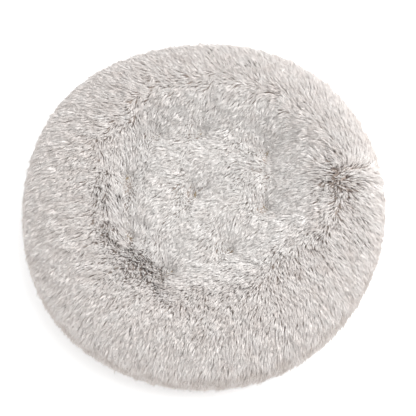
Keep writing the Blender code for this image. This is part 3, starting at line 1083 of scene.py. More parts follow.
@dataclass
class Pile:
    """Long pile, grown in locks whose hairs come together at the tip. Angles are in degrees."""

    skin: Skin
    comb: Comb
    pitch: float = 0.0024
    hairs: int = 3
    hair_length: float = 0.0190
    hair_radius: float = 0.00048
    root_spread: float = 0.0013
    sunk: float = 0.0012
    leans: tuple[float, float, float] = (45.0, 60.0, 71.0)
    clump_size: float = 0.0062
    clump_share: float = 0.75
    most_hairs: int = 11800
    quick_thinning: float = 1.12
    seed: int = 11
    scatter: float = 7.0
    curl: float = 0.05
    hair_curl: float = 0.03
    tip_spread: float = 0.0006
    lean_limits: tuple[float, float] = (12.0, 88.0)
    taper: tuple[float, float, float, float] = (0.95, 1.0, 0.72, 0.0)
    flatness: float = 0.75
    map_heights: tuple[float, float, float, float] = (0.01, 0.34, 0.67, 0.99)
    map_corners: tuple[float, float, float] = (-0.01, 0.01, 0.0)
    floor_gap: float = 0.0012
    floor_spread: float = 0.002
    floor_splay: float = 0.6
    # Width of the painted shade along the creases between ties
    crease_shade_width: float = 0.004
    stray_root_and_gap_shade: float = 0.45
    stray_root_and_gap_shade_share: float = 0.13

    def grow(self) -> tuple[np.ndarray, np.ndarray, np.ndarray]:
        """Work out the middle line, thickness and looks of every hair.

        Returns:
            Points of each hair from root to tip, side and lift of each ring, and for each hair its tint
            and the places on the pile map where it starts and ends.
        """
        rng = np.random.default_rng(self.seed)
        locks = self.planted(rng)
        line, normal = self.middle_lines(locks, rng)
        ring = self.rings(line, normal, locks, rng)
        return line, ring, self.looks(locks, rng)

    def planted(self, rng: np.random.Generator) -> Locks:
        """Plant the locks and settle how each one lies.

        Args:
            rng: Source of chance.

        Returns:
            The locks.
        """
        pitch = self.pitch * 1.0
        flat = self.skin.seeds(pitch, rng)
        point, normal = self.skin.at(flat)
        plan = point[:, :2]
        combed, opened = self.comb.directions(flat, plan)
        combed = turned(combed, np.radians(self.scatter) * rng.normal(size=len(flat)))
        laid = np.linalg.norm(combed, axis=1)
        flank = smoothstep(0.215, 0.25, np.linalg.norm(plan, axis=1))
        flank = flank * (1.0 - smoothstep(0.45, 0.85, normal[:, 2]))
        low = 1.0 - smoothstep(0.010, 0.055, point[:, 2])
        crease = self.comb.crease_gap(plan)
        length = self.hair_length * (1.0 + 0.12 * wave_noise(flat, 0.02, 41) / 2)
        length *= rng.uniform(0.82, 1.15, len(flat))
        length *= 1.0 - 0.35 * low - 0.15 * flank
        length *= 0.58 + 0.42 * smoothstep(0.006, 0.030, nearest_gap(plan, self.skin.layout.tufts))
        length *= 0.60 + 0.40 * smoothstep(0.002, 0.012, crease)
        pad = 1.0 - smoothstep(0.14, 0.20, np.linalg.norm(plan - self.comb.parting_centre, axis=1))
        # Painted light and shade: pad hairs are tinted paler to lift the pad, and flank hairs darker as
        # painted shade on the sides
        tint = 0.50 + 0.33 * pad - 0.36 * flank + 0.22 * opened + 0.08 * wave_noise(flat, 0.035, 42)
        tint = tint + 0.09 * rng.normal(size=len(flat))
        lean = rng.normal(0.0, 5.0, len(flat)) + 4.0 * wave_noise(flat, 0.03, 43) + 6.0 * low - 5.0 * flank
        lean -= 16.0 * (1.0 - laid) * (1.0 - flank) + 6.0 * opened - 4.0 * pad
        lean -= self.comb.whorl.fall(plan)
        curl = self.curl * rng.normal(size=len(flat))
        combed = unit(combed + 1e-5)
        clump = self.clump_pull(flat, opened)
        return Locks(flat, point, combed, opened, flank, crease, length, tint, lean, curl, clump)

    def per_hair(self, values: np.ndarray) -> np.ndarray:
        """Each lock's value once for each of its hairs."""
        return np.repeat(values, self.hairs, axis=0)

    def middle_lines(self, locks: Locks, rng: np.random.Generator) -> tuple[np.ndarray, np.ndarray]:
        """Bend every hair over the skin.

        Args:
            locks: The locks that the hairs belong to.
            rng: Source of chance.

        Returns:
            Four points of each hair from root to tip, and the skin's normal below each of them.
        """
        count = len(locks.flat) * self.hairs
        turn = rng.uniform(0, FULL_TURN, count)
        root = (self.root_spread * np.sqrt(rng.random(count)))[:, None] * toward(turn)
        tip = self.per_hair(0.5 - 0.35 * locks.opened)[:, None] * root
        tip = tip + self.tip_spread * rng.normal(size=(count, 2))
        tip = tip + self.per_hair(locks.clump)
        combed = self.per_hair(locks.combed)
        length = self.per_hair(locks.length) * rng.uniform(0.86, 1.06, count)
        curl = self.per_hair(locks.curl) + self.hair_curl * rng.normal(size=count)
        leans = np.array(self.leans) + self.per_hair(locks.lean)[:, None]
        leans = np.radians(np.clip(leans, *self.lean_limits))
        step = length[:, None] / 3.0
        run, rise = (np.cumsum(part(leans) * step, axis=1) for part in (np.sin, np.cos))
        run, rise = (np.concatenate([np.zeros((count, 1)), part], axis=1) for part in (run, rise))
        share = np.arange(4) / 3.0
        bend = curl[:, None] * length[:, None] * share**2
        pinch = share**0.8
        loose = root[:, None] * (1 - pinch)[:, None] + tip[:, None] * pinch[:, None]
        out = combed[:, :1] * run - combed[:, 1:] * bend + loose[..., 0]
        around = combed[:, 1:] * run + combed[:, :1] * bend + loose[..., 1]
        flat = np.repeat(self.per_hair(locks.flat)[:, None], 4, axis=1)
        point, normal = self.skin.at(self.skin.shifted(flat, out, around))
        line = point + normal * (rise - self.sunk)[..., None]
        floor = self.floor_gap + self.floor_spread * rng.random((count, 1))
        return self.lifted(line, floor), normal

    def lifted(self, line: np.ndarray, floor: np.ndarray) -> np.ndarray:
        """Push hairs that would pass through the floor up and outwards.

        Args:
            line: Points of each hair.
            floor: Lowest height for each hair.

        Returns:
            The points, all above the floor.
        """
        under = np.maximum(floor - line[..., 2], 0.0)
        away = unit(line[..., :2] - self.skin.layout.centre)
        line[..., :2] += away * under[..., None] * self.floor_splay
        line[..., 2] += under
        return line

    def rings(
        self, line: np.ndarray, normal: np.ndarray, locks: Locks, rng: np.random.Generator
    ) -> np.ndarray:
        """Give every hair its thickness.

        Args:
            line: Points of each hair.
            normal: The skin's normal below each point.
            locks: The locks that the hairs belong to.
            rng: Source of chance.

        Returns:
            Side and lift vectors at each point.
        """
        along = np.gradient(line, axis=1)
        side = unit(np.cross(along, normal))
        lift = unit(np.cross(side, along))
        radius = self.hair_radius * rng.uniform(0.75, 1.2, (len(line), 1)) * np.array(self.taper)
        radius *= 1.0 - 0.22 * self.per_hair(locks.opened)[:, None]
        return np.stack([side * radius[..., None], lift * radius[..., None] * self.flatness], axis=2)

    def looks(self, locks: Locks, rng: np.random.Generator) -> np.ndarray:
        """Choose the tint of every hair and how much of its dark root shows, which carries painted shade in
        the creases, on the flanks and in scattered hairs.

        Args:
            locks: The locks that the hairs belong to.
            rng: Source of chance.

        Returns:
            Tint, and the places on the pile map where the hair starts and ends.
        """
        count = len(locks.flat) * self.hairs
        tint = self.per_hair(locks.tint) + 0.05 * rng.normal(size=count)
        patchy = locks.opened * np.clip(1.00 + 0.40 * wave_noise(locks.point, 0.012, 44), 0, 1.5)
        dark = np.clip(patchy + 0.10 + 0.10 * wave_noise(locks.flat, 0.02, 45), 0.0, 1.0)
        # Painted shade: more dark root shows in the creases between ties and on the flanks
        crease_shade = np.exp(-((locks.crease / self.crease_shade_width) ** 2))
        dark = self.per_hair(dark) + self.per_hair(0.35 * crease_shade + 0.30 * locks.flank)
        # Darker roots on a random share of hairs: partly the fur's own dark roots, partly painted shade of
        # the thin gaps between locks
        dark += self.stray_root_and_gap_shade * (rng.random(count) < self.stray_root_and_gap_shade_share)
        dark = np.clip(dark + 0.10 * rng.normal(size=count), 0.0, 1.0)
        start = 0.52 * (1.0 - dark * (1.0 - 0.25 * self.per_hair(locks.flank))) ** 1.3
        return np.stack([np.clip(tint, 0.02, 0.96), start, 1.0 - 0.34 * dark], axis=1)

    def clump_pull(self, flat: np.ndarray, opened: np.ndarray) -> np.ndarray:
        """How far each lock's tip leans over to its neighbours, where the pile is open.

        Args:
            flat: Places of the locks on the flat disc.
            opened: How open the pile is at each.

        Returns:
            Steps outwards and counter-clockwise.
        """
        waver = np.stack([wave_noise(flat, 0.012, seed) for seed in (46, 47)], axis=1)
        cell = np.floor(flat / self.clump_size + 0.35 * waver)
        pull = ((cell + 0.5) * self.clump_size - flat) * (self.clump_share * opened)[:, None]
        pull = np.clip(pull, -0.5 * self.clump_size, 0.5 * self.clump_size)
        way = unit(flat + 1e-9)
        return np.stack([(pull * way).sum(axis=1), (pull * quarter_turn(way)).sum(axis=1)], axis=1)

    def spikes(
        self, line: np.ndarray, ring: np.ndarray, looks: np.ndarray
    ) -> tuple[np.ndarray, np.ndarray, np.ndarray]:
        """Three-sided closed spikes.

        Args:
            line: Middle line of each hair.
            ring: Side and lift vectors at each of its points.
            looks: Tint and reach on the pile map.

        Returns:
            Points, triangles and the place of each triangle corner on the pile map.
        """
        count = len(line)
        turns = np.arange(3) * FULL_TURN / 3 + math.pi / 2
        circle = np.cos(turns)[:, None] * ring[:, :3, None, 0] + np.sin(turns)[:, None] * ring[:, :3, None, 1]
        rings = line[:, :3, None] + circle
        points = np.concatenate([rings.reshape(count, 9, 3), line[:, 3:4]], axis=1)
        pattern = [(0, 2, 1)]
        for band in (0, 3):
            for corner in range(3):
                ahead = (corner + 1) % 3
                a, b, c, d = band + corner, band + ahead, band + 3 + ahead, band + 3 + corner
                pattern += [(a, b, c), (a, c, d)]
        pattern += [(6 + corner, 6 + (corner + 1) % 3, 9) for corner in range(3)]
        pattern = np.array(pattern)
        height = np.repeat(self.map_heights, [3, 3, 3, 1])
        across = np.array([*self.map_corners * 3, 0.0])
        u = looks[:, :1] + across
        v = looks[:, 1:2] + height * (looks[:, 2:] - looks[:, 1:2])
        places = np.stack([u, v], axis=-1)[:, pattern]
        faces = pattern + 10 * np.arange(count)[:, None, None]
        return points.reshape(-1, 3), faces.reshape(-1, 3), places.reshape(-1, 2)

    def build(self, finish: bpy.types.Material) -> list[bpy.types.Object]:
        """Make the pile as pieces small enough to be kept whole.

        Args:
            finish: The pile's material.

        Returns:
            The pieces.
        """
        line, ring, looks = self.grow()
        root = line[:, 0, :2] - self.skin.layout.centre
        zone = np.linalg.norm(root, axis=1) > self.skin.layout.ring_reach
        around = np.arctan2(root[:, 1], root[:, 0])
        pieces = []
        for label, inside in (("pad", ~zone), ("rim", zone)):
            order = np.flatnonzero(inside)[np.argsort(around[inside], kind="stable")]
            shares = max(1, math.ceil(len(order) / self.most_hairs))
            for number, chosen in enumerate(np.array_split(order, shares), 1):
                made = self.spikes(line[chosen], ring[chosen], looks[chosen])
                name = f"plush_pile_{label}_{number}"
                pieces.append(mesh_object(name, made[0], made[1], finish, made[2]))
        LOG.info("pile: %d hairs in %d pieces", len(line), len(pieces))
        return pieces


# ------------------------------------------------------------------------------------------------
# Cover, fillings and base


def loop_faces(rows: int, columns: int) -> np.ndarray:
    """Squares over a grid that closes on itself both ways.

    Args:
        rows: Number of rows.
        columns: Number of points in a row.

    Returns:
        Vertex numbers of each square.
    """
    row, column = np.meshgrid(np.arange(rows), np.arange(columns), indexing="ij")
    below, ahead = (row + 1) % rows, (column + 1) % columns
    corners = [row * columns + column, below * columns + column, below * columns + ahead]
    return np.stack([*corners, row * columns + ahead], axis=-1).reshape(-1, 4)


@dataclass
class Backing:
    """Knitted ground cloth that the pile grows from."""

    skin: Skin
    thickness: float = 0.0012
    sunk: float = 0.0004
    turned_in: float = 0.009
    past_seam: float = 0.0012
    hem_height: float = 0.0020

    def hem(self) -> np.ndarray:
        """Rows of cloth from the foot of the flank to under the seam and on inwards.

        Returns:
            Three rows of points on the hem's lower face.
        """
        foot = self.skin.grid[-1]
        angle = np.arctan2(foot[:, 1], foot[:, 0])
        seam = self.skin.layout.loop_radius("seam_thread", angle)
        rows = []
        for shift in (self.past_seam, -0.5 * self.turned_in, -self.turned_in):
            plan = toward(angle) * (seam + shift)[:, None]
            rows.append(np.column_stack([plan, np.full(len(foot), self.hem_height)]))
        return np.stack(rows)

    def build(self, finish: bpy.types.Material) -> bpy.types.Object:
        """Make the cloth as one closed shell.

        Args:
            finish: The cloth's material.

        Returns:
            The piece.
        """
        outer = self.skin.grid - self.sunk * self.skin.normal
        hem = self.hem()
        inner = np.concatenate([outer - self.thickness * self.skin.normal, hem + self.thickness * UP])
        points = np.concatenate([outer, hem, inner[::-1]])
        faces = loop_faces(len(points), self.skin.COLUMNS)
        return mesh_object("plush_backing", points.reshape(-1, 3), faces, finish)


@dataclass
class Fillings:
    """Loose fibre under the skin: a firm ring and a softer pad."""

    skin: Skin
    clearance: float = 0.0026
    lump: float = 0.0011
    lump_size: float = 0.028
    floor: float = 0.0034
    foot_inset: float = 0.09
    bottom_rows: int = 12
    knot_lift: float = 0.009
    knot_reach: tuple[float, float] = (0.004, 0.026)

    def build(self, finish: bpy.types.Material) -> tuple[bpy.types.Object, bpy.types.Object]:
        """Make both fillings.

        Args:
            finish: The fibre's material.

        Returns:
            The ring's piece and the pad's piece.
        """
        skin = self.skin
        noise = wave_noise(skin.grid, self.lump_size, 51)
        depth = self.clearance + self.lump * (1.0 + 0.5 * noise)
        inside = skin.grid - depth[..., None] * skin.normal
        seam = int(np.argmax(skin.reach.mean(axis=1) > skin.layout.ring_reach))
        ring = self.closed(inside[seam:], "rim_fibre", finish)
        pad = self.closed(inside[: seam - 1], "centre_fibre", finish)
        return ring, pad

    def closed(self, top: np.ndarray, name: str, finish: bpy.types.Material) -> bpy.types.Object:
        """Close a band of the skin down to the base cloth.

        Args:
            top: Rows of the upper side.
            name: The piece's name.
            finish: The fibre's material.

        Returns:
            The piece.
        """
        top = top.copy()
        top[..., 2] = np.maximum(top[..., 2], self.floor + 0.001)
        shares = np.linspace(self.foot_inset, 1.0, self.bottom_rows)[:, None, None]
        bottom = top[-1] * (1 - shares) + top[0] * shares
        bottom[..., 2] = self.base_height(bottom)
        points = np.concatenate([top, bottom])
        return mesh_object(name, points.reshape(-1, 3), loop_faces(len(points), points.shape[1]), finish)

    def base_height(self, points: np.ndarray) -> np.ndarray:
        """Height of the underside, which lifts over each tie's knot."""
        gap = nearest_gap(points[..., :2], self.skin.layout.tufts)
        return self.floor + self.knot_lift * (1.0 - smoothstep(*self.knot_reach, gap))


@dataclass
class BaseCloth:
    """Base cloth with rubber dots moulded on its underside."""

    layout: Layout
    dot_pitch: float = 0.0085
    dot_radius: float = 0.0014
    dot_height: float = 0.0004
    edge_margin: float = 0.012
    knot_margin: float = 0.028
    field_steps: int = 40
    sides: int = 8

    def dot(self) -> tuple[np.ndarray, np.ndarray]:
        """One low dome, top side down.

        Returns:
            Points and four-cornered faces.
        """
        levels = np.radians([-8.0, 20.0, 50.0, 78.0])
        turn = np.arange(self.sides) * FULL_TURN / self.sides
        reach = self.dot_radius * np.append(np.cos(levels), 1e-5)
        depth = -self.dot_height * np.append(np.sin(levels), 1.0)
        reach, depth = np.insert(reach, 0, 1e-5), np.insert(depth, 0, depth[0])
        rings = toward(turn)[None] * reach[:, None, None]
        heights = np.broadcast_to(depth[:, None, None], (len(depth), self.sides, 1))
        return np.concatenate([rings, heights], axis=2).reshape(-1, 3), grid_faces(len(depth), self.sides)

    def places(self) -> np.ndarray:
        """Middles of the dots: a hexagonal field inside the seam, clear of the tie knots.

        Returns:
            Places in plan, one row each.
        """
        steps = np.arange(-self.field_steps, self.field_steps + 1)
        across, along = np.meshgrid(steps, steps, indexing="ij")
        x = (across + 0.5 * (along % 2)) * self.dot_pitch
        y = along * self.dot_pitch * math.sqrt(0.75)
        found = np.stack([x.ravel(), y.ravel()], axis=1)
        angle = np.arctan2(found[:, 1], found[:, 0])
        reach = np.linalg.norm(found, axis=1)
        edge = self.layout.loop_radius("seam_thread", angle)
        gap = nearest_gap(found, self.layout.tufts)
        return found[(reach < edge - self.edge_margin) & (gap > self.knot_margin)]

    def build(self, cloth: bpy.types.Material, rubber: bpy.types.Material) -> bpy.types.Object:
        """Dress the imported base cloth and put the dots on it.

        Args:
            cloth: The woven material.
            rubber: The dots' material.

        Returns:
            The dots' piece.
        """
        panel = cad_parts["base_panel"]
        panel.data.materials.clear()
        panel.data.materials.append(cloth)
        for polygon in panel.data.polygons:
            polygon.use_smooth = True
        shape, faces = self.dot()
        places = self.places()
        points = shape[None] + np.append(places, np.zeros((len(places), 1)), axis=1)[:, None]
        faces = faces + len(shape) * np.arange(len(places))[:, None, None]
        dots = mesh_object("non_slip_dots", points.reshape(-1, 3), faces.reshape(-1, 4), rubber)
        LOG.info("base: %d dots", len(places))
        return dots


# ------------------------------------------------------------------------------------------------
# Ties, stitches and label


@dataclass
class TuftTies:
    """Two-ply twine pulled through the bed, tied over the pad side and knotted below."""

    layout: Layout
    strand_radius: float = 0.00062
    ply_offset: float = 0.00056
    lay: float = 0.0052
    sides: int = 7
    tail: float = 0.0055
    tail_arch: float = 0.0035
    step: float = 0.0006
    top_inset: float = 0.0012
    bottom_inset: float = 0.0016
    top_knot: tuple[float, float] = (0.0030, 0.0034)
    bottom_knot: tuple[float, float] = (0.0033, 0.0038)
    first_seed: int = 70

    def two_ply(self, path: np.ndarray) -> list[tuple[np.ndarray, np.ndarray]]:
        """Two strands twisted around a path.

        Args:
            path: Points along the twine.

        Returns:
            Points and faces of each strand.
        """
        run = np.append(0.0, np.cumsum(np.linalg.norm(np.diff(path, axis=0), axis=1)))
        even = np.linspace(0.0, run[-1], max(8, int(run[-1] / self.step)))
        line = np.stack([np.interp(even, run, path[:, axis]) for axis in range(3)], axis=1)
        tangent = unit(np.gradient(line, axis=0))
        guide = UP if abs(tangent[:, 2]).mean() < 0.8 else np.array([1.0, 0.0, 0.0])
        side = unit(np.cross(tangent, guide))
        lift = np.cross(side, tangent)
        strands = []
        for ply in range(2):
            turn = even / self.lay * FULL_TURN + ply * math.pi
            offset = side * np.cos(turn)[:, None] + lift * np.sin(turn)[:, None]
            radius = np.full(len(line), self.strand_radius)
            strands.append(swept_tube(line + offset * self.ply_offset, radius, self.sides))
        return strands

    def knot(self, centre: np.ndarray, radius: float, height: float) -> list[tuple[np.ndarray, np.ndarray]]:
        """Wound knot: twine turned three times around in a trefoil.

        Args:
            centre: Middle of the knot.
            radius: How far its turns reach.
            height: How tall it is.

        Returns:
            Points and faces of its strands.
        """
        turn = np.linspace(0.0, FULL_TURN, 60)
        bend = radius * (0.52 + 0.24 * np.cos(3 * turn))
        path = np.stack(
            [bend * np.cos(2 * turn), bend * np.sin(2 * turn), 0.30 * height * np.sin(3 * turn)], axis=1
        )
        return self.two_ply(path + centre)

    def build(self, finish: bpy.types.Material) -> list[bpy.types.Object]:
        """Make every tie.

        Args:
            finish: The twine's material.

        Returns:
            A piece for each packed tie, in the order of their names.
        """
        pieces = []
        for number, (name, (low, high)) in enumerate(self.layout.ties.items()):
            middle = (low[:2] + high[:2]) / 2
            top, bottom = high[2] - self.top_inset, low[2] + self.bottom_inset
            rng = np.random.default_rng(self.first_seed + number)
            shaft = np.array([[*middle, height] for height in np.linspace(bottom, top - 0.001, 30)])
            parts = self.two_ply(shaft)
            parts += self.knot(np.array([*middle, top - 0.0004]), *self.top_knot)
            parts += self.knot(np.array([*middle, bottom + 0.0006]), *self.bottom_knot)
            heading = rng.uniform(0, math.pi)
            for turn in (heading, heading + math.pi * rng.uniform(0.8, 1.1)):
                share = np.linspace(0.0, 1.0, 9)[:, None]
                way = np.append(toward(turn), 0.0)
                droop = UP * (self.tail_arch * np.sin(share * 2.4) - 0.0005)
                tail = np.array([*middle, top]) + way * share * self.tail + droop
                parts += self.two_ply(tail)
            points, faces = gathered(parts)
            pieces.append(mesh_object(name.replace("tuft_tie", "twine_tie"), points, faces, finish))
        return pieces


@dataclass
class Stitching:
    """Machine stitches round the base seam and hand stitches over the closed gap."""

    layout: Layout
    pitch: float = 0.0042
    thread_radius: float = 0.00042
    stitch_rise: float = 0.00022
    stitch_taper: tuple[float, ...] = (0.55, 0.95, 1.0, 1.0, 0.95, 0.55)
    hand_pitch: float = 0.0062
    hand_rise: float = 0.0004
    hand_thickening: float = 1.3
    sides: int = 6

    def machine(self, finish: bpy.types.Material) -> bpy.types.Object:
        """Even stitches with a small gap between them.

        Args:
            finish: The thread's material.

        Returns:
            The piece.
        """
        low, high = (np.array(corner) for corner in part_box("seam_thread"))
        middle = (low[2] + high[2]) / 2
        count = int(FULL_TURN * self.layout.loop_radius("seam_thread", np.zeros(1))[0] / self.pitch)
        radius = self.thread_radius * np.array(self.stitch_taper)
        rise = self.stitch_rise * np.sin(np.linspace(0.0, math.pi, len(radius)))
        parts = []
        for number in range(count):
            angle = (number + np.linspace(0.06, 0.86, len(radius))) * FULL_TURN / count
            reach = self.layout.loop_radius("seam_thread", angle)
            path = np.column_stack([toward(angle) * (reach + rise)[:, None], np.full(len(radius), middle)])
            parts.append(swept_tube(path, radius, self.sides))
        return mesh_object("seam_stitches", *gathered(parts), finish)

    def hand(self, finish: bpy.types.Material) -> bpy.types.Object:
        """Slanting hand stitches over the gap that the bed was stuffed through.

        Args:
            finish: The thread's material.

        Returns:
            The piece.
        """
        points = self.layout.node_points("closing_thread")
        around = np.arctan2(points[:, 1], points[:, 0])
        span = around.max() - around.min()
        count = int(span * 0.25 / self.hand_pitch)
        low, high = points[:, 2].min(), points[:, 2].max()
        share = np.linspace(0.0, 1.0, 7)
        arch = np.sin(share * math.pi)
        height = low + (high - low) * (0.25 + 0.5 * share)
        radius = self.thread_radius * self.hand_thickening * (0.6 + 0.4 * arch)
        parts = []
        for number in range(count):
            angle = around.min() + (number + 0.1 + 0.75 * share) * (span / count)
            reach = self.layout.loop_radius("closing_thread", angle)
            path = np.column_stack([toward(angle) * (reach + self.hand_rise * arch)[:, None], height])
            parts.append(swept_tube(path, radius, self.sides))
        return mesh_object("closing_stitches", *gathered(parts), finish)


@dataclass
class CareLabel:
    """Blank woven label, folded once and caught in the base seam."""

    thickness: float = 0.00028
    fold: float = 0.00045
    ripple: float = 0.00012
    ripple_rate: float = 260.0
    columns: int = 24
    rows: int = 34

    def build(self, finish: bpy.types.Material) -> bpy.types.Object:
        """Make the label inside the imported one's place.

        Args:
            finish: The tape's material.

        Returns:
            The piece.
        """
        points = Layout.node_points("care_label")
        middle = points.mean(axis=0)
        out = unit(middle[:2])
        side = quarter_turn(out)
        reach = (points[:, :2] - middle[:2]) @ out
        width = (points[:, :2] - middle[:2]) @ side
        near, far, half = reach.min(), reach.max(), width.max()
        low, fold = points[:, 2].min(), self.fold
        straight = far - near - fold
        span = np.linspace(0.0, 2 * straight + math.pi * fold, self.rows)
        turn = np.clip((span - straight) / fold, 0.0, math.pi)
        past = np.maximum(span - straight - math.pi * fold, 0.0)
        along = near + np.minimum(span, straight) + fold * np.sin(turn) - past
        lift = low + self.thickness + fold * (1.0 - np.cos(turn))
        normal = np.stack([-np.sin(turn), np.cos(turn)], axis=1)
        across = np.linspace(-half, half, self.columns)
        wave = self.ripple * np.sin(across * self.ripple_rate)[None] * (span / span[-1])[:, None]
        layers = []
        for offset in (0.5, -0.5):
            height = lift[:, None] + wave + offset * self.thickness * normal[:, 1:]
            run = along[:, None] + offset * self.thickness * normal[:, :1]
            place = middle[:2] + run[..., None] * out + across[None, :, None] * side
            layers.append(np.concatenate([place, height[..., None]], axis=2))
        ring = np.concatenate([layers[0], layers[1][:, ::-1]], axis=1)
        count = ring.shape[1]
        faces = grid_faces(self.rows, count)
        ends = []
        for row, turned in ((0, 1), (self.rows - 1, -1)):
            for column in range(self.columns - 1):
                corner = [column, column + 1, count - 2 - column, count - 1 - column][::turned]
                ends.append([row * count + number for number in corner])
        faces = np.concatenate([faces, np.array(ends)])
        return mesh_object("woven_label", ring.reshape(-1, 3), faces, finish)


# ------------------------------------------------------------------------------------------------
# Studio


@dataclass
class Studio:
    """Pale floor, soft lights and the camera."""

    target: tuple[float, float, float] = (0.0064, -0.0022, 0.060)
    elevation: float = math.radians(67.5)
    distance: float = 1.4
    lens: float = 73.9
    floor_height: float = -0.0006
    floor_size: float = 12.0
    floor_glow: float = 0.27
    sky: float = 0.99
    sensor: float = 36.0
    top_place: tuple[float, float, float] = (0.95, 0.22, 1.80)
    top_size: float = 1.6
    top_power: float = 31.5
    side_place: tuple[float, float, float] = (1.6, 0.7, 0.9)
    side_size: float = 1.1
    side_power: float = 1.5

    def build(self) -> None:
        """Set the stage."""
        self.make_floor()
        self.make_camera()
        self.make_sky()
        self.make_light("top", self.top_place, self.top_size, self.top_power)
        self.make_light("side", self.side_place, self.side_size, self.side_power)
        bpy.context.scene.view_settings.view_transform = "Standard"

    def make_floor(self) -> None:
        """Lay a near-white floor."""
        sheet, shader = new_material("studio_floor", 0.9)
        shade = sheet.add("ShaderNodeTexNoise", {"Scale": 3.0, "Detail": 1.0})
        stops = [(0.3, Dye(0.965, 0.965, 0.965)), (0.7, Dye(0.975, 0.975, 0.975))]
        colour = sheet.ramp(shade.outputs["Fac"], stops)
        sheet.tree.links.new(colour, shader.inputs["Base Color"])
        shader.inputs["Emission Color"].default_value = (1.0, 1.0, 1.0, 1.0)
        shader.inputs["Emission Strength"].default_value = self.floor_glow
        half = self.floor_size / 2
        corners = np.array([[-half, -half], [half, -half], [half, half], [-half, half]])
        points = np.column_stack([corners, np.full(4, self.floor_height)])
        mesh_object("studio_floor", points, np.array([[0, 1, 2, 3]]), sheet.material)

    def make_camera(self) -> None:
        """Stand the camera in front of the bed, looking steeply down."""
        lens = bpy.data.cameras.new("camera")
        lens.lens = self.lens
        lens.sensor_width = self.sensor
        lens.clip_start = 0.05
        holder = bpy.data.objects.new("camera", lens)
        bpy.context.scene.collection.objects.link(holder)
        back = Vector((0.0, -math.cos(self.elevation), math.sin(self.elevation)))
        holder.location = Vector(self.target) + back * self.distance
        holder.rotation_euler = back.to_track_quat("Z", "Y").to_euler()
        bpy.context.scene.camera = holder

    def make_sky(self) -> None:
        """Light everything evenly from all round."""
        world = bpy.data.worlds.new("studio")
        world.use_nodes = True
        shader = world.node_tree.nodes["Background"]
        shader.inputs["Color"].default_value = (1.0, 1.0, 1.0, 1.0)
        shader.inputs["Strength"].default_value = self.sky
        bpy.context.scene.world = world

    def make_light(self, name: str, place: tuple[float, float, float], size: float, power: float) -> None:
        """Hang a square soft light that faces the bed.

        Args:
            name: The light's name.
            place: Where it hangs.
            size: Length of its side.
            power: Its power in watts.
        """
        lamp = bpy.data.lights.new(name, "AREA")
        lamp.shape = "SQUARE"
        lamp.size = size
        lamp.energy = power
        holder = bpy.data.objects.new(name, lamp)
        holder.location = place
        aim = Vector(place) - Vector(self.target)
        holder.rotation_euler = aim.to_track_quat("Z", "Y").to_euler()
        bpy.context.scene.collection.objects.link(holder)


# ------------------------------------------------------------------------------------------------
# The whole bed


class Slot(Enum):
    """Material slots, which are only named in the log."""

    PLUSH = "plush"
    BASE_CLOTH = "base_cloth"
    FIBRE = "fibre"
    TWINE = "twine"
    SEAM_COTTON = "seam_cotton"
    LABEL_TAPE = "label_tape"


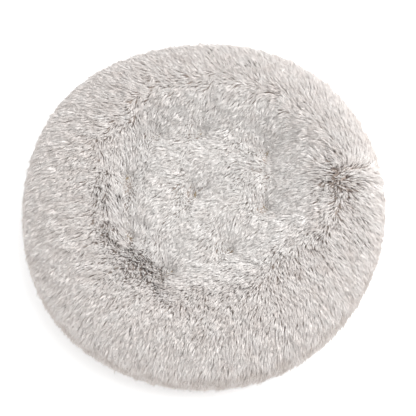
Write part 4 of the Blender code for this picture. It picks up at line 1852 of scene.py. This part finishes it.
class PetBed:
    """Builds every piece and hides the imported nodes it replaces."""

    def __init__(self) -> None:
        """Make the materials and read the frame."""
        self.layout = Layout()
        effects = ClothEffects()
        self.pile = PileFinish().build()
        self.knit = ClothFinish(
            "ground_knit", Dye(0.74, 0.68, 0.64), Dye(0.84, 0.79, 0.75), "weave",
            (("Thread Count", 900.0), ("Looseness", 1.5)),
        ).build(effects)
        self.fibre = ClothFinish(
            "stuffing_fibre", Dye(0.86, 0.86, 0.86), Dye(0.94, 0.94, 0.94), "fuzz",
            (("Fibre Scale", 700.0), ("Blotch Scale", 30.0)),
        ).build(effects)
        self.cloth = ClothFinish(
            "base_weave", Dye(0.30, 0.275, 0.26), Dye(0.42, 0.39, 0.37), "weave",
            (("Thread Count", 1100.0), ("Looseness", 0.5)),
        ).build(effects)
        self.rubber = ClothFinish(
            "dot_rubber", Dye(0.16, 0.15, 0.145), Dye(0.20, 0.19, 0.185), "fuzz",
            (("Fibre Scale", 1500.0), ("Blotch Scale", 60.0)), 0.1, 0.0001, 0.55, 0.0,
        ).build(effects)
        self.twine = ClothFinish(
            "twine", Dye(0.55, 0.49, 0.40), Dye(0.70, 0.64, 0.54), "fuzz",
            (("Fibre Scale", 2600.0), ("Blotch Scale", 500.0)),
        ).build(effects)
        self.cotton = ClothFinish(
            "seam_cotton", Dye(0.33, 0.28, 0.25), Dye(0.43, 0.37, 0.34), "fuzz",
            (("Fibre Scale", 3000.0), ("Blotch Scale", 400.0)),
        ).build(effects)
        self.tape = ClothFinish(
            "label_tape", Dye(0.84, 0.83, 0.81), Dye(0.93, 0.92, 0.90), "weave",
            (("Thread Count", 2600.0), ("Looseness", 0.2)), 0.2, 0.0001,
        ).build(effects)

    @staticmethod
    def place(piece: bpy.types.Object, slot: Slot, *nodes: str) -> bpy.types.Object:
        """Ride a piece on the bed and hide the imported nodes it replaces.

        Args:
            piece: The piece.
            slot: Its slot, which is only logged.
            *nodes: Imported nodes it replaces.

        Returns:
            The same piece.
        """
        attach(piece, BODY)
        if nodes:
            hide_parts(*nodes)
        LOG.info("%s: %d faces, slot %s", piece.name, len(piece.data.polygons), slot.value)
        return piece

    def build(self) -> None:
        """Build the whole bed."""
        skin = Skin(self.layout, StuffedBody(self.layout).build())
        backing = self.place(Backing(skin).build(self.knit), Slot.PLUSH, "plush_cover")
        for piece in Pile(skin, Comb(skin)).build(self.pile):
            self.place(piece, Slot.PLUSH, "plush_cover")
        ring, pad = Fillings(skin).build(self.fibre)
        self.place(ring, Slot.FIBRE, "rim_filling")
        self.place(pad, Slot.FIBRE, "centre_filling")
        self.place(BaseCloth(self.layout).build(self.cloth, self.rubber), Slot.BASE_CLOTH)
        for name, piece in zip(self.layout.ties, TuftTies(self.layout).build(self.twine)):
            self.place(piece, Slot.TWINE, name)
        stitching = Stitching(self.layout)
        self.place(stitching.machine(self.cotton), Slot.SEAM_COTTON, "seam_thread")
        self.place(stitching.hand(self.cotton), Slot.SEAM_COTTON, "closing_thread")
        label = self.place(CareLabel().build(self.tape), Slot.LABEL_TAPE, "care_label")


def main() -> None:
    """Build the bed and its studio."""
    logging.basicConfig(level=logging.INFO, format="%(name)s: %(message)s")
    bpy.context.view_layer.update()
    PetBed().build()
    Studio().build()


if __name__ == "__main__":
    main()
